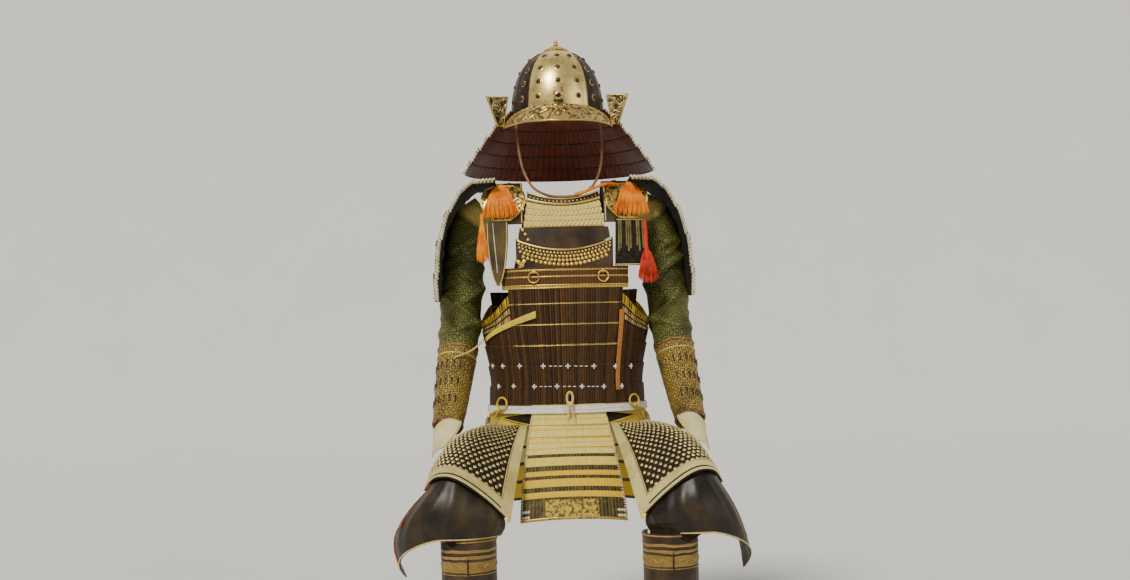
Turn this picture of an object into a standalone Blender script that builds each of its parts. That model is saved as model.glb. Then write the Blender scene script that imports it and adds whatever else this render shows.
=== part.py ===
"""Samurai armour in its seated pose, hollow as it is worn.

Metres, +Z up, and the front faces -Y. The origin is the middle of the waist opening, level with the
cuirass's lower edge. Pieces of a pair are worked out on the +X side and mirrored for the other one.
"""

import math
from typing import NamedTuple

import bmesh
import bpy
from mathutils import Vector

MM = 0.001
SEAM = 0.3 * MM
DO_WALL = 4.0 * MM
LAME_STEP = 3.0 * MM
PLATE_WALL = 3.0 * MM
CLOTH_WALL = 2.4 * MM

DO_TOP = 254.0 * MM
LAME_HEIGHTS = (254.0 * MM, 224.0 * MM, 178.0 * MM, 132.0 * MM, 86.0 * MM, 40.0 * MM)
STEP_RAMP = 2.0 * MM

HELMET_X = -5.0 * MM
HELMET_RIM = 658.0 * MM
HELMET_TOP = 800.0 * MM


class BodySection(NamedTuple):
    """The cuirass's plan at one height: half width, and depth in front of and behind the middle."""

    height: float
    half_width: float
    front: float
    back: float


BODY = (
    BodySection(-60 * MM, 184 * MM, 132 * MM, 121 * MM),
    BodySection(0 * MM, 177 * MM, 126 * MM, 116 * MM),
    BodySection(60 * MM, 173 * MM, 124 * MM, 115 * MM),
    BodySection(180 * MM, 190 * MM, 135 * MM, 126 * MM),
    BodySection(254 * MM, 196 * MM, 138 * MM, 131 * MM),
    BodySection(350 * MM, 193 * MM, 131 * MM, 130 * MM),
    BodySection(430 * MM, 182 * MM, 117 * MM, 122 * MM),
    BodySection(500 * MM, 168 * MM, 98 * MM, 106 * MM),
)


class ArmSection(NamedTuple):
    """The sleeve's middle line and radius at a share of the way from shoulder to wrist."""

    share: float
    x: float
    y: float
    z: float
    radius: float


ARM = (
    ArmSection(0.00, 171.4 * MM, 8 * MM, 437 * MM, 44 * MM),
    ArmSection(0.12, 208.4 * MM, 8 * MM, 405 * MM, 46 * MM),
    ArmSection(0.26, 225.4 * MM, 8 * MM, 345 * MM, 46 * MM),
    ArmSection(0.42, 232.4 * MM, 10 * MM, 270 * MM, 46 * MM),
    ArmSection(0.58, 239.4 * MM, 6 * MM, 185 * MM, 45 * MM),
    ArmSection(0.74, 248 * MM, -24 * MM, 102 * MM, 43 * MM),
    ArmSection(0.88, 258 * MM, -74 * MM, 22 * MM, 38 * MM),
    ArmSection(1.00, 267 * MM, -124 * MM, -44 * MM, 32 * MM),
)
ARM_SPLIT = 0.70


class Fold(NamedTuple):
    """One fold of the sleeve: where it crosses, its height, its half width and how far it slants."""

    share: float
    height: float
    half_width: float
    slant: float
    facing: float


FOLDS = (
    Fold(0.13, 3.0 * MM, 0.022, 0.030, 250),
    Fold(0.22, 3.6 * MM, 0.020, -0.045, 290),
    Fold(0.30, 2.6 * MM, 0.018, 0.050, 230),
    Fold(0.39, 4.2 * MM, 0.022, 0.060, 275),
    Fold(0.47, 3.4 * MM, 0.020, -0.050, 250),
    Fold(0.55, 4.6 * MM, 0.020, 0.065, 285),
    Fold(0.62, 3.8 * MM, 0.018, -0.035, 260),
    Fold(0.67, 2.8 * MM, 0.014, 0.025, 270),
)

SODE_FRONT = -105 * MM
SODE_BACK = 150 * MM
SODE_TOP = 499 * MM
SODE_INNER = 150.4 * MM
SODE_FLAT_END = 187 * MM
SODE_REACH = 108 * MM
SODE_FALL = 214 * MM
SODE_SKIRT = 50 * MM
SODE_BOW = 12 * MM


def lerp(start, end, share):
    """The value that share of the way from start to end."""
    return start + (end - start) * share


def along(rows, place):
    """Every column but the first of a table, on smooth curves through its rows."""
    places = [row[0] for row in rows]
    place = min(max(place, places[0]), places[-1])
    k = max(i for i in range(len(rows) - 1) if places[i] <= place)
    gap = places[k + 1] - places[k]
    t = (place - places[k]) / gap
    before, after = max(k - 1, 0), min(k + 2, len(rows) - 1)
    values = []
    for column in range(1, len(rows[0])):
        a, b = rows[k][column], rows[k + 1][column]
        slope_a = (b - rows[before][column]) / (places[k + 1] - places[before]) * gap
        slope_b = (rows[after][column] - a) / (places[after] - places[k]) * gap
        values.append(
            a * (2 * t**3 - 3 * t**2 + 1)
            + slope_a * (t**3 - 2 * t**2 + t)
            + b * (3 * t**2 - 2 * t**3)
            + slope_b * (t**3 - t**2)
        )
    return values


def body_point(angle, height, out=0.0):
    """A point of the body's surface; angle is in degrees from the front towards +X."""
    half_width, front, back = along(BODY, height)
    turn = math.radians(angle)
    depth = front if math.cos(turn) > 0 else back
    return Vector(((half_width + out) * math.sin(turn), -(depth + out) * math.cos(turn), height))


def body_angle(x, height):
    """The angle at which the front of the body's surface is x from the middle."""
    return math.degrees(math.asin(x / along(BODY, height)[0]))


def spread(count, start=0.0, end=1.0):
    """Count even places from start to end, both taken in."""
    return [lerp(start, end, i / (count - 1)) for i in range(count)]


def ring(count):
    """Count even places round a closed ring."""
    return [i / count for i in range(count)]


def moved(surface, distance):
    """The surface moved along its own normal; distance is a number or a function of u and v."""
    step = 1e-3

    def point(u, v):
        across = surface(min(u + step, 1.0), v) - surface(max(u - step, 0.0), v)
        down = surface(u, min(v + step, 1.0)) - surface(u, max(v - step, 0.0))
        far = distance(u, v) if callable(distance) else distance
        return surface(u, v) + down.cross(across).normalized() * far

    return point


class Lames:
    """The stepped face of a laced panel: each lame's upper edge stands out over the lame above."""

    def __init__(self, edges, step=LAME_STEP, ramp=0.010):
        self.edges = list(edges)
        self.step = step
        self.ramp = ramp

    def rows(self):
        """The places down the panel: two at each lame's upper edge."""
        places = [0.0] if self.edges[0] > 0 else []
        for edge in self.edges:
            places += [edge - self.ramp, edge] if edge > 0 else [edge]
        return places + [1.0]

    def rise(self, v):
        """How far the face stands out at v."""
        if v < self.edges[0] - self.ramp / 2:
            return 0.0
        k = max(i for i, edge in enumerate(self.edges) if edge <= v + self.ramp / 2)
        end = (self.edges + [1.0])[k + 1]
        return self.step * min(1.0, max(0.0, (end - v) / (end - self.edges[k])))


def material(name, colour, roughness, metallic=0.0):
    """A plain finish of one colour."""
    made = bpy.data.materials.get(name) or bpy.data.materials.new(name)
    made.use_nodes = True
    shader = made.node_tree.nodes["Principled BSDF"]
    shader.inputs["Base Color"].default_value = (*colour, 1.0)
    shader.inputs["Roughness"].default_value = roughness
    shader.inputs["Metallic"].default_value = metallic
    return made


def finishes():
    """The armour's finishes by name."""
    return {
        "gilt": material("gilt", (0.83, 0.63, 0.24), 0.32, 1.0),
        "dark_iron": material("dark_iron", (0.07, 0.06, 0.05), 0.45, 0.6),
        "red_lacquer": material("red_lacquer", (0.19, 0.05, 0.03), 0.35),
        "brown_lacing": material("brown_lacing", (0.13, 0.07, 0.03), 0.7),
        "black_lacquer": material("black_lacquer", (0.03, 0.03, 0.03), 0.35),
        "yellow_lacing": material("yellow_lacing", (0.78, 0.66, 0.25), 0.75),
        "white_cloth": material("white_cloth", (0.85, 0.84, 0.82), 0.85),
        "green_brocade": material("green_brocade", (0.19, 0.22, 0.08), 0.8),
        "gold_brocade": material("gold_brocade", (0.36, 0.28, 0.08), 0.75),
        "orange_silk": material("orange_silk", (0.95, 0.42, 0.04), 0.6),
        "red_silk": material("red_silk", (0.62, 0.09, 0.03), 0.6),
        "brown_leather": material("brown_leather", (0.10, 0.06, 0.03), 0.5),
        "studded_black": material("studded_black", (0.16, 0.14, 0.06), 0.6),
    }


def add_mesh(name, finish, bm, mirrored=False):
    """Makes one named solid of the bmesh, facing outwards."""
    if mirrored:
        for vert in bm.verts:
            vert.co.x = -vert.co.x
    bm.normal_update()
    bmesh.ops.recalc_face_normals(bm, faces=bm.faces)
    mesh = bpy.data.meshes.new(name)
    bm.to_mesh(mesh)
    bm.free()
    mesh.shade_smooth()
    mesh.set_sharp_from_angle(angle=math.radians(35))
    mesh.materials.append(FINISHES[finish])
    made = bpy.data.objects.new(name, mesh)
    bpy.context.scene.collection.objects.link(made)
    return made


def every_second(rows):
    """Every second row with the last one, for the plain inside of a stepped wall."""
    kept = rows[::2]
    return kept if kept[-1] == rows[-1] else kept + rows[-1:]


def wall(name, finish, outer, inner, across, down, closed=False, mirrored=False, inside=None):
    """A closed wall between two surfaces of (u, v); closed joins the last column to the first.

    inside lists the inner face's rows, some of those in down, where it has fewer of them.
    """
    inside = inside or down
    bm = bmesh.new()
    front = [[bm.verts.new(outer(u, v)) for u in across] for v in down]
    behind = [[bm.verts.new(inner(u, v)) for u in across] for v in inside]
    columns = len(across)
    spans = columns if closed else columns - 1
    for grid in (front, behind):
        for i in range(len(grid) - 1):
            for j in range(spans):
                k = (j + 1) % columns
                bm.faces.new((grid[i][j], grid[i][k], grid[i + 1][k], grid[i + 1][j]))
    for row in (0, -1):
        for j in range(spans):
            k = (j + 1) % columns
            bm.faces.new((front[row][j], front[row][k], behind[row][k], behind[row][j]))
    if not closed:
        for column in (0, columns - 1):
            for i in range(len(inside) - 1):
                first, last = down.index(inside[i]), down.index(inside[i + 1])
                edge = [front[k][column] for k in range(first, last + 1)]
                bm.faces.new(edge + [behind[i + 1][column], behind[i][column]])
    return add_mesh(name, finish, bm, mirrored)


def turned(name, finish, profile, sides, at, closed_profile=False):
    """A turned solid: profile lists (radius, height), and radius 0 closes an end on the axis."""
    bm = bmesh.new()
    rings = []
    for radius, height in profile:
        if radius == 0:
            rings.append([bm.verts.new(at + Vector((0, 0, height)))])
        else:
            turns = [math.tau * i / sides for i in range(sides)]
            rings.append([bm.verts.new(at + Vector((radius * math.cos(t), radius * math.sin(t), height)))
                          for t in turns])
    pairs = list(zip(rings, rings[1:])) + ([(rings[-1], rings[0])] if closed_profile else [])
    for low, high in pairs:
        for i in range(sides):
            j = (i + 1) % sides
            corners = [low[i % len(low)], low[j % len(low)], high[j % len(high)], high[i % len(high)]]
            bm.faces.new(list(dict.fromkeys(corners)))
    return add_mesh(name, finish, bm)


def helmet_plan(angle, half_width, front, back):
    """A point of the helmet's plan; angle is in degrees from the front towards +X."""
    turn = math.radians(angle)
    depth = front if math.cos(turn) > 0 else back
    return HELMET_X + half_width * math.sin(turn), -depth * math.cos(turn) - 8 * MM


def bowl_point(u, v):
    """The bowl's outer face: v 0 at the crown's ring and 1 at the rim."""
    fall = math.radians(lerp(8, 90, v))
    share = math.sin(fall) ** 0.86
    height = HELMET_RIM + (HELMET_TOP - HELMET_RIM) * math.cos(fall) ** 0.92 if v < 1 else HELMET_RIM
    x, y = helmet_plan(360 * u, 104 * MM * share, 118 * MM * share, 108 * MM * share)
    return Vector((x, y, height))


def visor_point(u, v):
    """The visor's upper face: a crescent whose ends spread and sink beside the bowl's rim."""
    share = abs(2 * u - 1)
    angle = 82 * (2 * u - 1)
    width = max(math.sqrt(1 - share * share), 0.07)
    spread_out = 15 * MM * share**2
    x0, y0 = helmet_plan(angle, 106.3 * MM + spread_out, 120.2 * MM, 118 * MM)
    x1, y1 = helmet_plan(angle, 124 * MM + spread_out, 160 * MM, 118 * MM)
    root = HELMET_RIM + 4 * MM - 31 * MM * share**3
    return Vector((lerp(x0, x1, v * width), lerp(y0, y1, v * width), root - 42 * MM * v * width))


def shikoro_point(u, v):
    """The neck guard's outer face, from the bowl's rim to its wide lower edge."""
    angle = lerp(86, 274, u)
    flare = v**0.8
    side, front, back = lerp(105.8, 218, flare), lerp(110, 168, flare), lerp(109.9, 204, flare)
    x, y = helmet_plan(angle, side * MM, front * MM, back * MM)
    return Vector((x, y, HELMET_RIM + 5 * MM - 139.5 * MM * v))


def turnback_point(u, v):
    """The turned-back plate's front face: wide at the top and narrow at its lower end."""
    inner, outer = lerp(111, 123, v), lerp(162, 137, v)
    x = lerp(inner, outer, u) * MM
    return Vector((x, -19.5 * MM - 9 * MM * u * u, lerp(698, 628, v) * MM))


def shifted(surface, across):
    """The surface moved along X."""
    return lambda u, v: surface(u, v) + Vector((across, 0, 0))


def build_helmet():
    """The bowl, its crown ring, visor, crest holder, turned-back plates and neck guard."""
    falls = [0.0, 0.16, 0.32, 0.48, 0.64, 0.82, 1.0]
    wall("helmet_bowl", "dark_iron", bowl_point, moved(bowl_point, -2.5 * MM), ring(24), falls, closed=True)
    crown = Vector((HELMET_X, -8 * MM, HELMET_TOP - 1.8 * MM))
    profile = [(0, 3), (26, 0.6), (30, 3), (21, 9), (11, 14), (6, 19), (8, 24), (4, 28), (0, 28.5)]
    profile = [(r * MM, z * MM) for r, z in profile]
    turned("helmet_crown_ring", "gilt", profile, 16, crown)
    wall("helmet_visor", "gilt", visor_point, moved(visor_point, -2.2 * MM), spread(21), spread(4))
    lames = Lames([k / 5 for k in range(5)], step=3.4 * MM, ramp=0.016)
    wall("helmet_neck_guard", "red_lacquer", moved(shikoro_point, lambda u, v: lames.rise(v)),
         moved(shikoro_point, -PLATE_WALL), spread(21), lames.rows(), inside=every_second(lames.rows()))
    for side, mirrored in (("right", False), ("left", True)):
        face = shifted(turnback_point, -HELMET_X if mirrored else HELMET_X)
        wall(f"helmet_turnback_{side}", "gilt", face, moved(face, -PLATE_WALL),
             spread(6), spread(4), mirrored=mirrored)
    build_crest_holder()


def build_crest_holder():
    """The forked socket that a crest slides into, standing on the visor's root at the front."""
    outline = ((-11, 0), (11, 0), (11, 36), (6.5, 36), (6.5, 9), (-6.5, 9), (-6.5, 36), (-11, 36))
    bm = bmesh.new()
    front, back = [], []
    foot, head = bowl_point(0, 1.0), bowl_point(0, 0.82)
    for x, z in outline:
        height = HELMET_RIM + (6 + z) * MM
        lean = lerp(foot.y, head.y, (height - foot.z) / (head.z - foot.z))
        front.append(bm.verts.new((HELMET_X + x * MM, lean - 3.0 * MM, height)))
        back.append(bm.verts.new((HELMET_X + x * MM, lean - 0.45 * MM, height)))
    count = len(outline)
    bm.faces.new(front)
    bm.faces.new(back)
    for i in range(count):
        j = (i + 1) % count
        bm.faces.new((front[i], front[j], back[j], back[i]))
    add_mesh("helmet_crest_holder", "gilt", bm)


def band_height(v):
    """Height down the cuirass's body wall."""
    return lerp(DO_TOP, 0.0, v)


def do_lames():
    """The steps of the cuirass's body wall."""
    return Lames([1 - height / DO_TOP for height in LAME_HEIGHTS], ramp=STEP_RAMP / DO_TOP)


class SideTop(NamedTuple):
    """Height of the body wall's upper edge at an angle round the side."""

    angle: float
    height: float


SIDE_TOP = (
    SideTop(41, 240 * MM),
    SideTop(55, 206 * MM),
    SideTop(78, 184 * MM),
    SideTop(98, 188 * MM),
    SideTop(120, 226 * MM),
)
FRONT_ANGLE = 40.0
BACK_ANGLE = 120.0
SEAM_ANGLE = 0.17
SIDE_LEVEL = 132 * MM


def side_height(angle, v):
    """Height down a side wall, whose lowest lames run level with the front's."""
    level = 1 - SIDE_LEVEL / DO_TOP
    if v >= level:
        return band_height(v)
    return lerp(along(SIDE_TOP, angle)[0], SIDE_LEVEL, v / level)


def build_cuirass_body():
    """The body wall round the waist: front, two sides and back."""
    lames = do_lames()
    for name, start, end, count in (("cuirass_front", -FRONT_ANGLE, FRONT_ANGLE, 13),
                                    ("cuirass_back", BACK_ANGLE, 360 - BACK_ANGLE, 15)):
        wall(name, "brown_lacing",
             lambda u, v: body_point(lerp(start, end, u), band_height(v), lames.rise(v)),
             lambda u, v: body_point(lerp(start, end, u), band_height(v), -DO_WALL),
             spread(count), lames.rows(), inside=every_second(lames.rows()))
    level = 1 - SIDE_LEVEL / DO_TOP
    side_lames = Lames([0, level * 0.36, level] + lames.edges[4:], ramp=STEP_RAMP / DO_TOP)
    start, end = FRONT_ANGLE + SEAM_ANGLE, BACK_ANGLE - SEAM_ANGLE
    for side, mirrored in (("right", False), ("left", True)):
        wall(f"cuirass_side_{side}", "brown_lacing",
             lambda u, v: body_point(lerp(start, end, u), side_height(lerp(start, end, u), v),
                                     side_lames.rise(v)),
             lambda u, v: body_point(lerp(start, end, u), side_height(lerp(start, end, u), v), -DO_WALL),
             spread(10), side_lames.rows(), mirrored=mirrored, inside=every_second(side_lames.rows()))


CHEST_BAND = (DO_TOP + SEAM, 302 * MM)
SCOOP_LOW = 340 * MM
SCOOP_RISE = 26 * MM
CHEST_LAME_HALF = 106 * MM
CHEST_PLATE_HALF = 98 * MM
CHEST_PLATE_TOP = 390 * MM
BREAST_HALF_LOW = 89 * MM
BREAST_HALF_TOP = 78 * MM
BREAST_TOP = 454 * MM
BREAST_RISE = 18 * MM


def chest_wall(name, finish, half_low, half_top, low, top, proud, back=DO_WALL, steps=()):
    """A chest plate between two heights; low and top are functions of s, -1 to 1 across it."""
    lames = Lames(steps or [0.0], step=proud[0] - proud[1], ramp=0.03)

    def point(s, v, out):
        height = lerp(top(s), low(s), v)
        half = lerp(half_top, half_low, v)
        return body_point(body_angle(half * s, height), height, out)

    return wall(name, finish,
                lambda u, v: point(2 * u - 1, v, proud[1] + lames.rise(v)),
                lambda u, v: point(2 * u - 1, v, -back),
                spread(13), lames.rows() if len(lames.edges) > 1 else spread(3))


def build_chest():
    """The chest plates above the body wall, from the band with the rings to the breast plate."""
    chest_wall("chest_band", "gilt", 140 * MM, 140 * MM, lambda s: CHEST_BAND[0], lambda s: CHEST_BAND[1],
               (2.4 * MM, 0.0), steps=(0.0, 0.5))
    chest_wall("chest_lame", "studded_black", CHEST_LAME_HALF, CHEST_LAME_HALF,
               lambda s: CHEST_BAND[1] + SEAM, lambda s: SCOOP_LOW + SCOOP_RISE * s * s,
               (4.5 * MM, 2.5 * MM))
    chest_wall("chest_plate", "brown_leather", CHEST_LAME_HALF - 4 * MM, CHEST_PLATE_HALF,
               lambda s: SCOOP_LOW + SEAM + SCOOP_RISE * s * s, lambda s: CHEST_PLATE_TOP,
               (1.2 * MM, 0.0))
    chest_wall("breast_plate", "black_lacquer", BREAST_HALF_LOW, BREAST_HALF_TOP,
               lambda s: CHEST_PLATE_TOP + SEAM, lambda s: BREAST_TOP + BREAST_RISE * s * s,
               (4.0 * MM, 0.5 * MM), steps=(0.0, 0.28))


def build_upper_back():
    """The back plate above the body wall, narrowing to the shoulders."""
    lames = Lames([0.0, 0.27, 0.5, 0.75])

    def point(u, v, out):
        height = lerp(472 * MM, DO_TOP + SEAM, v)
        half = (85 + 42 * v**1.3) * MM
        return body_point(180 - body_angle(half * (2 * u - 1), height), height, out)

    wall("upper_back", "brown_lacing", lambda u, v: point(u, v, lames.rise(v)),
         lambda u, v: point(u, v, -DO_WALL), spread(11), lames.rows(), inside=every_second(lames.rows()))


class StrapSection(NamedTuple):
    """The shoulder strap's side outline, and how it follows the body's curve across its width."""

    share: float
    y: float
    z: float
    turn: float


STRAP = (
    StrapSection(0.00, -104 * MM, 400 * MM, 0.36),
    StrapSection(0.15, -100 * MM, 436 * MM, 0.34),
    StrapSection(0.32, -76 * MM, 472 * MM, 0.20),
    StrapSection(0.50, -34 * MM, 495 * MM, 0.06),
    StrapSection(0.68, 22 * MM, 502 * MM, 0.0),
    StrapSection(0.84, 80 * MM, 488 * MM, -0.14),
    StrapSection(1.00, 116 * MM, 440 * MM, -0.26),
)
STRAP_INNER = 90.4 * MM
STRAP_OUTER = 150 * MM
STRAP_MIDDLE = 118 * MM
STRAP_WALL = 5 * MM


def strap_surface(x, share):
    """A point of the strap's outer face."""
    y, z, turn = along(STRAP, share)
    return Vector((x, y + turn * (x - STRAP_MIDDLE), z))


def strap_point(u, v):
    """The strap from its inner to its outer edge, v 0 at its front end."""
    return strap_surface(lerp(STRAP_INNER, STRAP_OUTER, u), v)


class LeafSection(NamedTuple):
    """Half width of the leaf-shaped shoulder plate at a share of the way down."""

    share: float
    half_width: float


LEAF = (
    LeafSection(0.00, 22 * MM),
    LeafSection(0.18, 42 * MM),
    LeafSection(0.45, 50 * MM),
    LeafSection(0.72, 45 * MM),
    LeafSection(0.90, 30 * MM),
    LeafSection(1.00, 16 * MM),
)
LEAF_MIDDLE = {"right": 141 * MM, "left": 133 * MM}
LEAF_TOP_SHARE = 0.42
LEAF_GAP = 0.7 * MM
LEAF_WALL = 2.5 * MM


def leaf_face(x, v):
    """The strap's face carried on sideways, v 0 at the leaf's top and 1 at its lower tip."""
    return strap_surface(x, lerp(LEAF_TOP_SHARE, 0.03, v))


def leaf_point(u, v, middle):
    """The strap's face over the leaf's outline, with middle as the leaf's centre line."""
    return leaf_face(middle + along(LEAF, v)[0] * (2 * u - 1), v)


def build_shoulders():
    """Both shoulder straps and the leaf plates over their front ends."""
    for side, mirrored in (("right", False), ("left", True)):
        wall(f"shoulder_strap_{side}", "brown_leather", moved(strap_point, 0.0),
             moved(strap_point, STRAP_WALL), spread(4), spread(13), mirrored=mirrored)
        leaf = lambda u, v: leaf_point(u, v, LEAF_MIDDLE[side])
        wall(f"leaf_plate_{side}", "gilt", moved(leaf, LEAF_GAP + LEAF_WALL), moved(leaf, LEAF_GAP),
             spread(8), spread(8), mirrored=mirrored)


def sode_point(u, v):
    """The shoulder guard's outer face: flat on the shoulder, then round and down over the arm."""
    y = lerp(SODE_FRONT, SODE_BACK, u)
    flat = SODE_FLAT_END - SODE_INNER
    curve = math.pi / 2 * math.sqrt((SODE_REACH**2 + SODE_FALL**2) / 2)
    way = v * (flat + curve + SODE_SKIRT)
    if way < flat:
        x, z = SODE_INNER + way, SODE_TOP
    elif way < flat + curve:
        turn = (way - flat) / curve * math.pi / 2
        x, z = SODE_FLAT_END + SODE_REACH * math.sin(turn), SODE_TOP - SODE_FALL * (1 - math.cos(turn))
    else:
        x, z = SODE_FLAT_END + SODE_REACH + 2 * MM, SODE_TOP - SODE_FALL - (way - flat - curve)
    bow = SODE_BOW * (2 * u - 1) ** 2 * min(1.0, max(0.0, (v - 0.1) / 0.3))
    return Vector((x - bow, y, z))


def build_shoulder_guards():
    """Both large shoulder guards, each of six lames hung from a top plate."""
    lames = Lames([0.0, 0.14, 0.31, 0.48, 0.65, 0.82], step=2.6 * MM)
    for side, mirrored in (("right", False), ("left", True)):
        wall(f"shoulder_guard_{side}", "black_lacquer",
             moved(sode_point, lambda u, v: lames.rise(v)), moved(sode_point, -PLATE_WALL),
             spread(8), lames.rows(), mirrored=mirrored, inside=every_second(lames.rows()))


def arm_frame(share):
    """The sleeve's middle, radius, and two directions across it at a share of its length."""
    x, y, z, radius = along(ARM, share)
    ahead = Vector(along(ARM, min(share + 0.01, 1.0))[:3])
    behind = Vector(along(ARM, max(share - 0.01, 0.0))[:3])
    way = (ahead - behind).normalized()
    forward = Vector((0, 1, 0)) - way * way.y
    forward.normalize()
    return Vector((x, y, z)), radius, forward, way.cross(forward)


def fold_height(turn, share):
    """How far the sleeve's folds stand out there; each fades on the side that it doesn't face."""
    total = 0.0
    for fold in FOLDS:
        facing = math.radians(fold.facing)
        place = fold.share + fold.slant * math.sin(turn - facing)
        strength = 0.55 + 0.45 * math.cos(turn - facing)
        total += fold.height * strength * math.exp(-(((share - place) / fold.half_width) ** 2))
    return total


def sleeve_point(u, share, inset=0.0, folds=True):
    """A point of the sleeve's outer face, inset towards its middle line."""
    middle, radius, forward, sideways = arm_frame(share)
    turn = math.tau * u
    reach = radius - inset + (fold_height(turn, share) if folds else 0.0)
    return middle + (forward * math.cos(turn) + sideways * math.sin(turn)) * reach


def forearm_point(u, v, inset):
    """The forearm guard, a plain tube over the sleeve's lower end."""
    return sleeve_point(u, lerp(ARM_SPLIT + 0.0007, 1.0, v), inset - 1.0 * MM, folds=False)


class HandSection(NamedTuple):
    """The hand guard's middle line, half width, crown and outward tilt at a share of its length."""

    share: float
    x: float
    y: float
    z: float
    half_width: float
    crown: float
    tilt: float


HAND = (
    HandSection(0.00, 268 * MM, -151.4 * MM, -20.3 * MM, 31 * MM, 16 * MM, 12),
    HandSection(0.35, 273 * MM, -170.5 * MM, -39 * MM, 32 * MM, 16 * MM, 24),
    HandSection(0.75, 281 * MM, -198 * MM, -66 * MM, 28 * MM, 13 * MM, 36),
    HandSection(1.00, 287 * MM, -214 * MM, -85 * MM, 17 * MM, 7 * MM, 40),
)


def hand_point(u, v):
    """The hand guard's upper face, an arched plate over the back of the hand."""
    x, y, z, half, crown, tilt = along(HAND, v)
    s = 2 * u - 1
    turn = math.radians(tilt)
    aside, below = half * s, crown * s * s
    return Vector((x + aside * math.cos(turn) - below * math.sin(turn), y,
                   z - aside * math.sin(turn) - below * math.cos(turn)))


def build_arms():
    """Both sleeves: folded cloth above, splinted forearm below and a hand guard at the wrist."""
    rows = spread(19)
    for side, mirrored in (("right", False), ("left", True)):
        wall(f"sleeve_upper_{side}", "green_brocade", lambda u, v: sleeve_point(u, v * ARM_SPLIT),
             lambda u, v: sleeve_point(u, v * ARM_SPLIT, CLOTH_WALL, folds=False), ring(12), rows,
             closed=True, mirrored=mirrored, inside=every_second(rows))
        wall(f"sleeve_forearm_{side}", "gold_brocade", lambda u, v: forearm_point(u, v, 0.0),
             lambda u, v: forearm_point(u, v, CLOTH_WALL), ring(14), spread(4),
             closed=True, mirrored=mirrored)
        wall(f"hand_guard_{side}", "white_cloth", hand_point, moved(hand_point, -2.5 * MM),
             spread(7), spread(5), mirrored=mirrored)


LACING_FOOT = -26 * MM
LACING_SHARE = 0.09


def tasset_point(u, v, angles, reach, drop, flare, bow):
    """A tasset's base face: its lacing hangs down the waist, and its lames then slope outwards."""
    s = 2 * u - 1
    angle = lerp(angles[0], angles[1], u)
    if v <= LACING_SHARE:
        return body_point(angle, lerp(-0.45 * MM, LACING_FOOT, v / LACING_SHARE), -1.5 * MM)
    top = body_point(angle, LACING_FOOT, -1.5 * MM)
    middle = math.radians((angles[0] + angles[1]) / 2)
    away = Vector((math.sin(middle), -math.cos(middle), 0))
    across = Vector((math.cos(middle), math.sin(middle), 0))
    t = (v - LACING_SHARE) / (1 - LACING_SHARE)
    point = top + away * reach * t**0.95 - Vector((0, 0, drop * t ** 1.05))
    point += across * s * flare * (0.35 * t + 0.65 * math.sin(math.pi / 2 * t))
    point -= Vector((0, 0, bow * s * s * t))
    return point


class Tasset(NamedTuple):
    """One tasset: its place round the waist, its slope and its lames."""

    name: str
    angles: tuple
    reach: float
    drop: float
    flare: float
    bow: float
    columns: int


TASSETS = (
    Tasset("tasset_front", (-27.2, 27.2), 206 * MM, 196 * MM, 29 * MM, 8 * MM, 12),
    Tasset("tasset_side_right", (92, 121), 58 * MM, 214 * MM, 12 * MM, 3 * MM, 6),
    Tasset("tasset_side_left", (239, 268), 58 * MM, 214 * MM, 12 * MM, 3 * MM, 6),
    Tasset("tasset_back_right", (127, 176), 58 * MM, 214 * MM, 10 * MM, 3 * MM, 7),
    Tasset("tasset_back_left", (184, 233), 58 * MM, 214 * MM, 10 * MM, 3 * MM, 7),
)


def build_tassets():
    """The tassets hung from the cuirass's lower edge, and the white sash over their lacing."""
    lames = Lames([lerp(LACING_SHARE + 0.025, 1.0, k / 5) for k in range(5)], step=2.8 * MM)
    rows = [0.0, LACING_SHARE] + lames.rows()[1:]
    kept = [0.0] + rows[1::2] + rows[-1:]
    for tasset in TASSETS:
        base = lambda u, v: tasset_point(u, v, *tasset[1:6])
        wall(tasset.name, "yellow_lacing", moved(base, lambda u, v: 1.0 * MM + lames.rise(v)),
             moved(base, -2.4 * MM), spread(tasset.columns), rows, inside=kept)
    wall("waist_sash", "white_cloth", lambda u, v: body_point(360 * u, lerp(-2.5, -19, v) * MM, 3.8 * MM),
         lambda u, v: body_point(360 * u, lerp(-2.5, -19, v) * MM, 0.9 * MM), ring(36), spread(2), closed=True)
    wall("thigh_guard_band", "gold_brocade",
         lambda u, v: body_point(360 * u, lerp(14, -45, v) * MM, -5.0 * MM),
         lambda u, v: body_point(360 * u, lerp(14, -45, v) * MM, -7.4 * MM), ring(36), spread(2), closed=True)


THIGH_WALL = 4 * MM
THIGH_TOP = -45.4 * MM
THIGH_ANGLES = (31.0, 92.0)


class KneeEdge(NamedTuple):
    """The thigh guard's lower edge over the knee, from its inner tip to its outer corner."""

    place: float
    x: float
    y: float
    z: float


KNEE_EDGE = (
    KneeEdge(-1.0, 130 * MM, -418 * MM, -212 * MM),
    KneeEdge(-0.5, 180 * MM, -444 * MM, -160 * MM),
    KneeEdge(0.0, 234 * MM, -452 * MM, -122 * MM),
    KneeEdge(0.5, 276 * MM, -424 * MM, -122 * MM),
    KneeEdge(1.0, 303 * MM, -360 * MM, -153 * MM),
)


def thigh_point(u, v):
    """The thigh guard's upper face, from the waist forwards over the thigh to the knee."""
    s = 2 * u - 1
    waist = body_point(lerp(*THIGH_ANGLES, u), THIGH_TOP, -5 * MM)
    knee = Vector(along(KNEE_EDGE, s))
    crown = math.sin(math.pi * v)
    point = waist.lerp(knee, v)
    point.z += 26 * MM * crown * (1 - 0.55 * s * s)
    point.x += 30 * MM * crown * u**1.5
    return point


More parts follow.
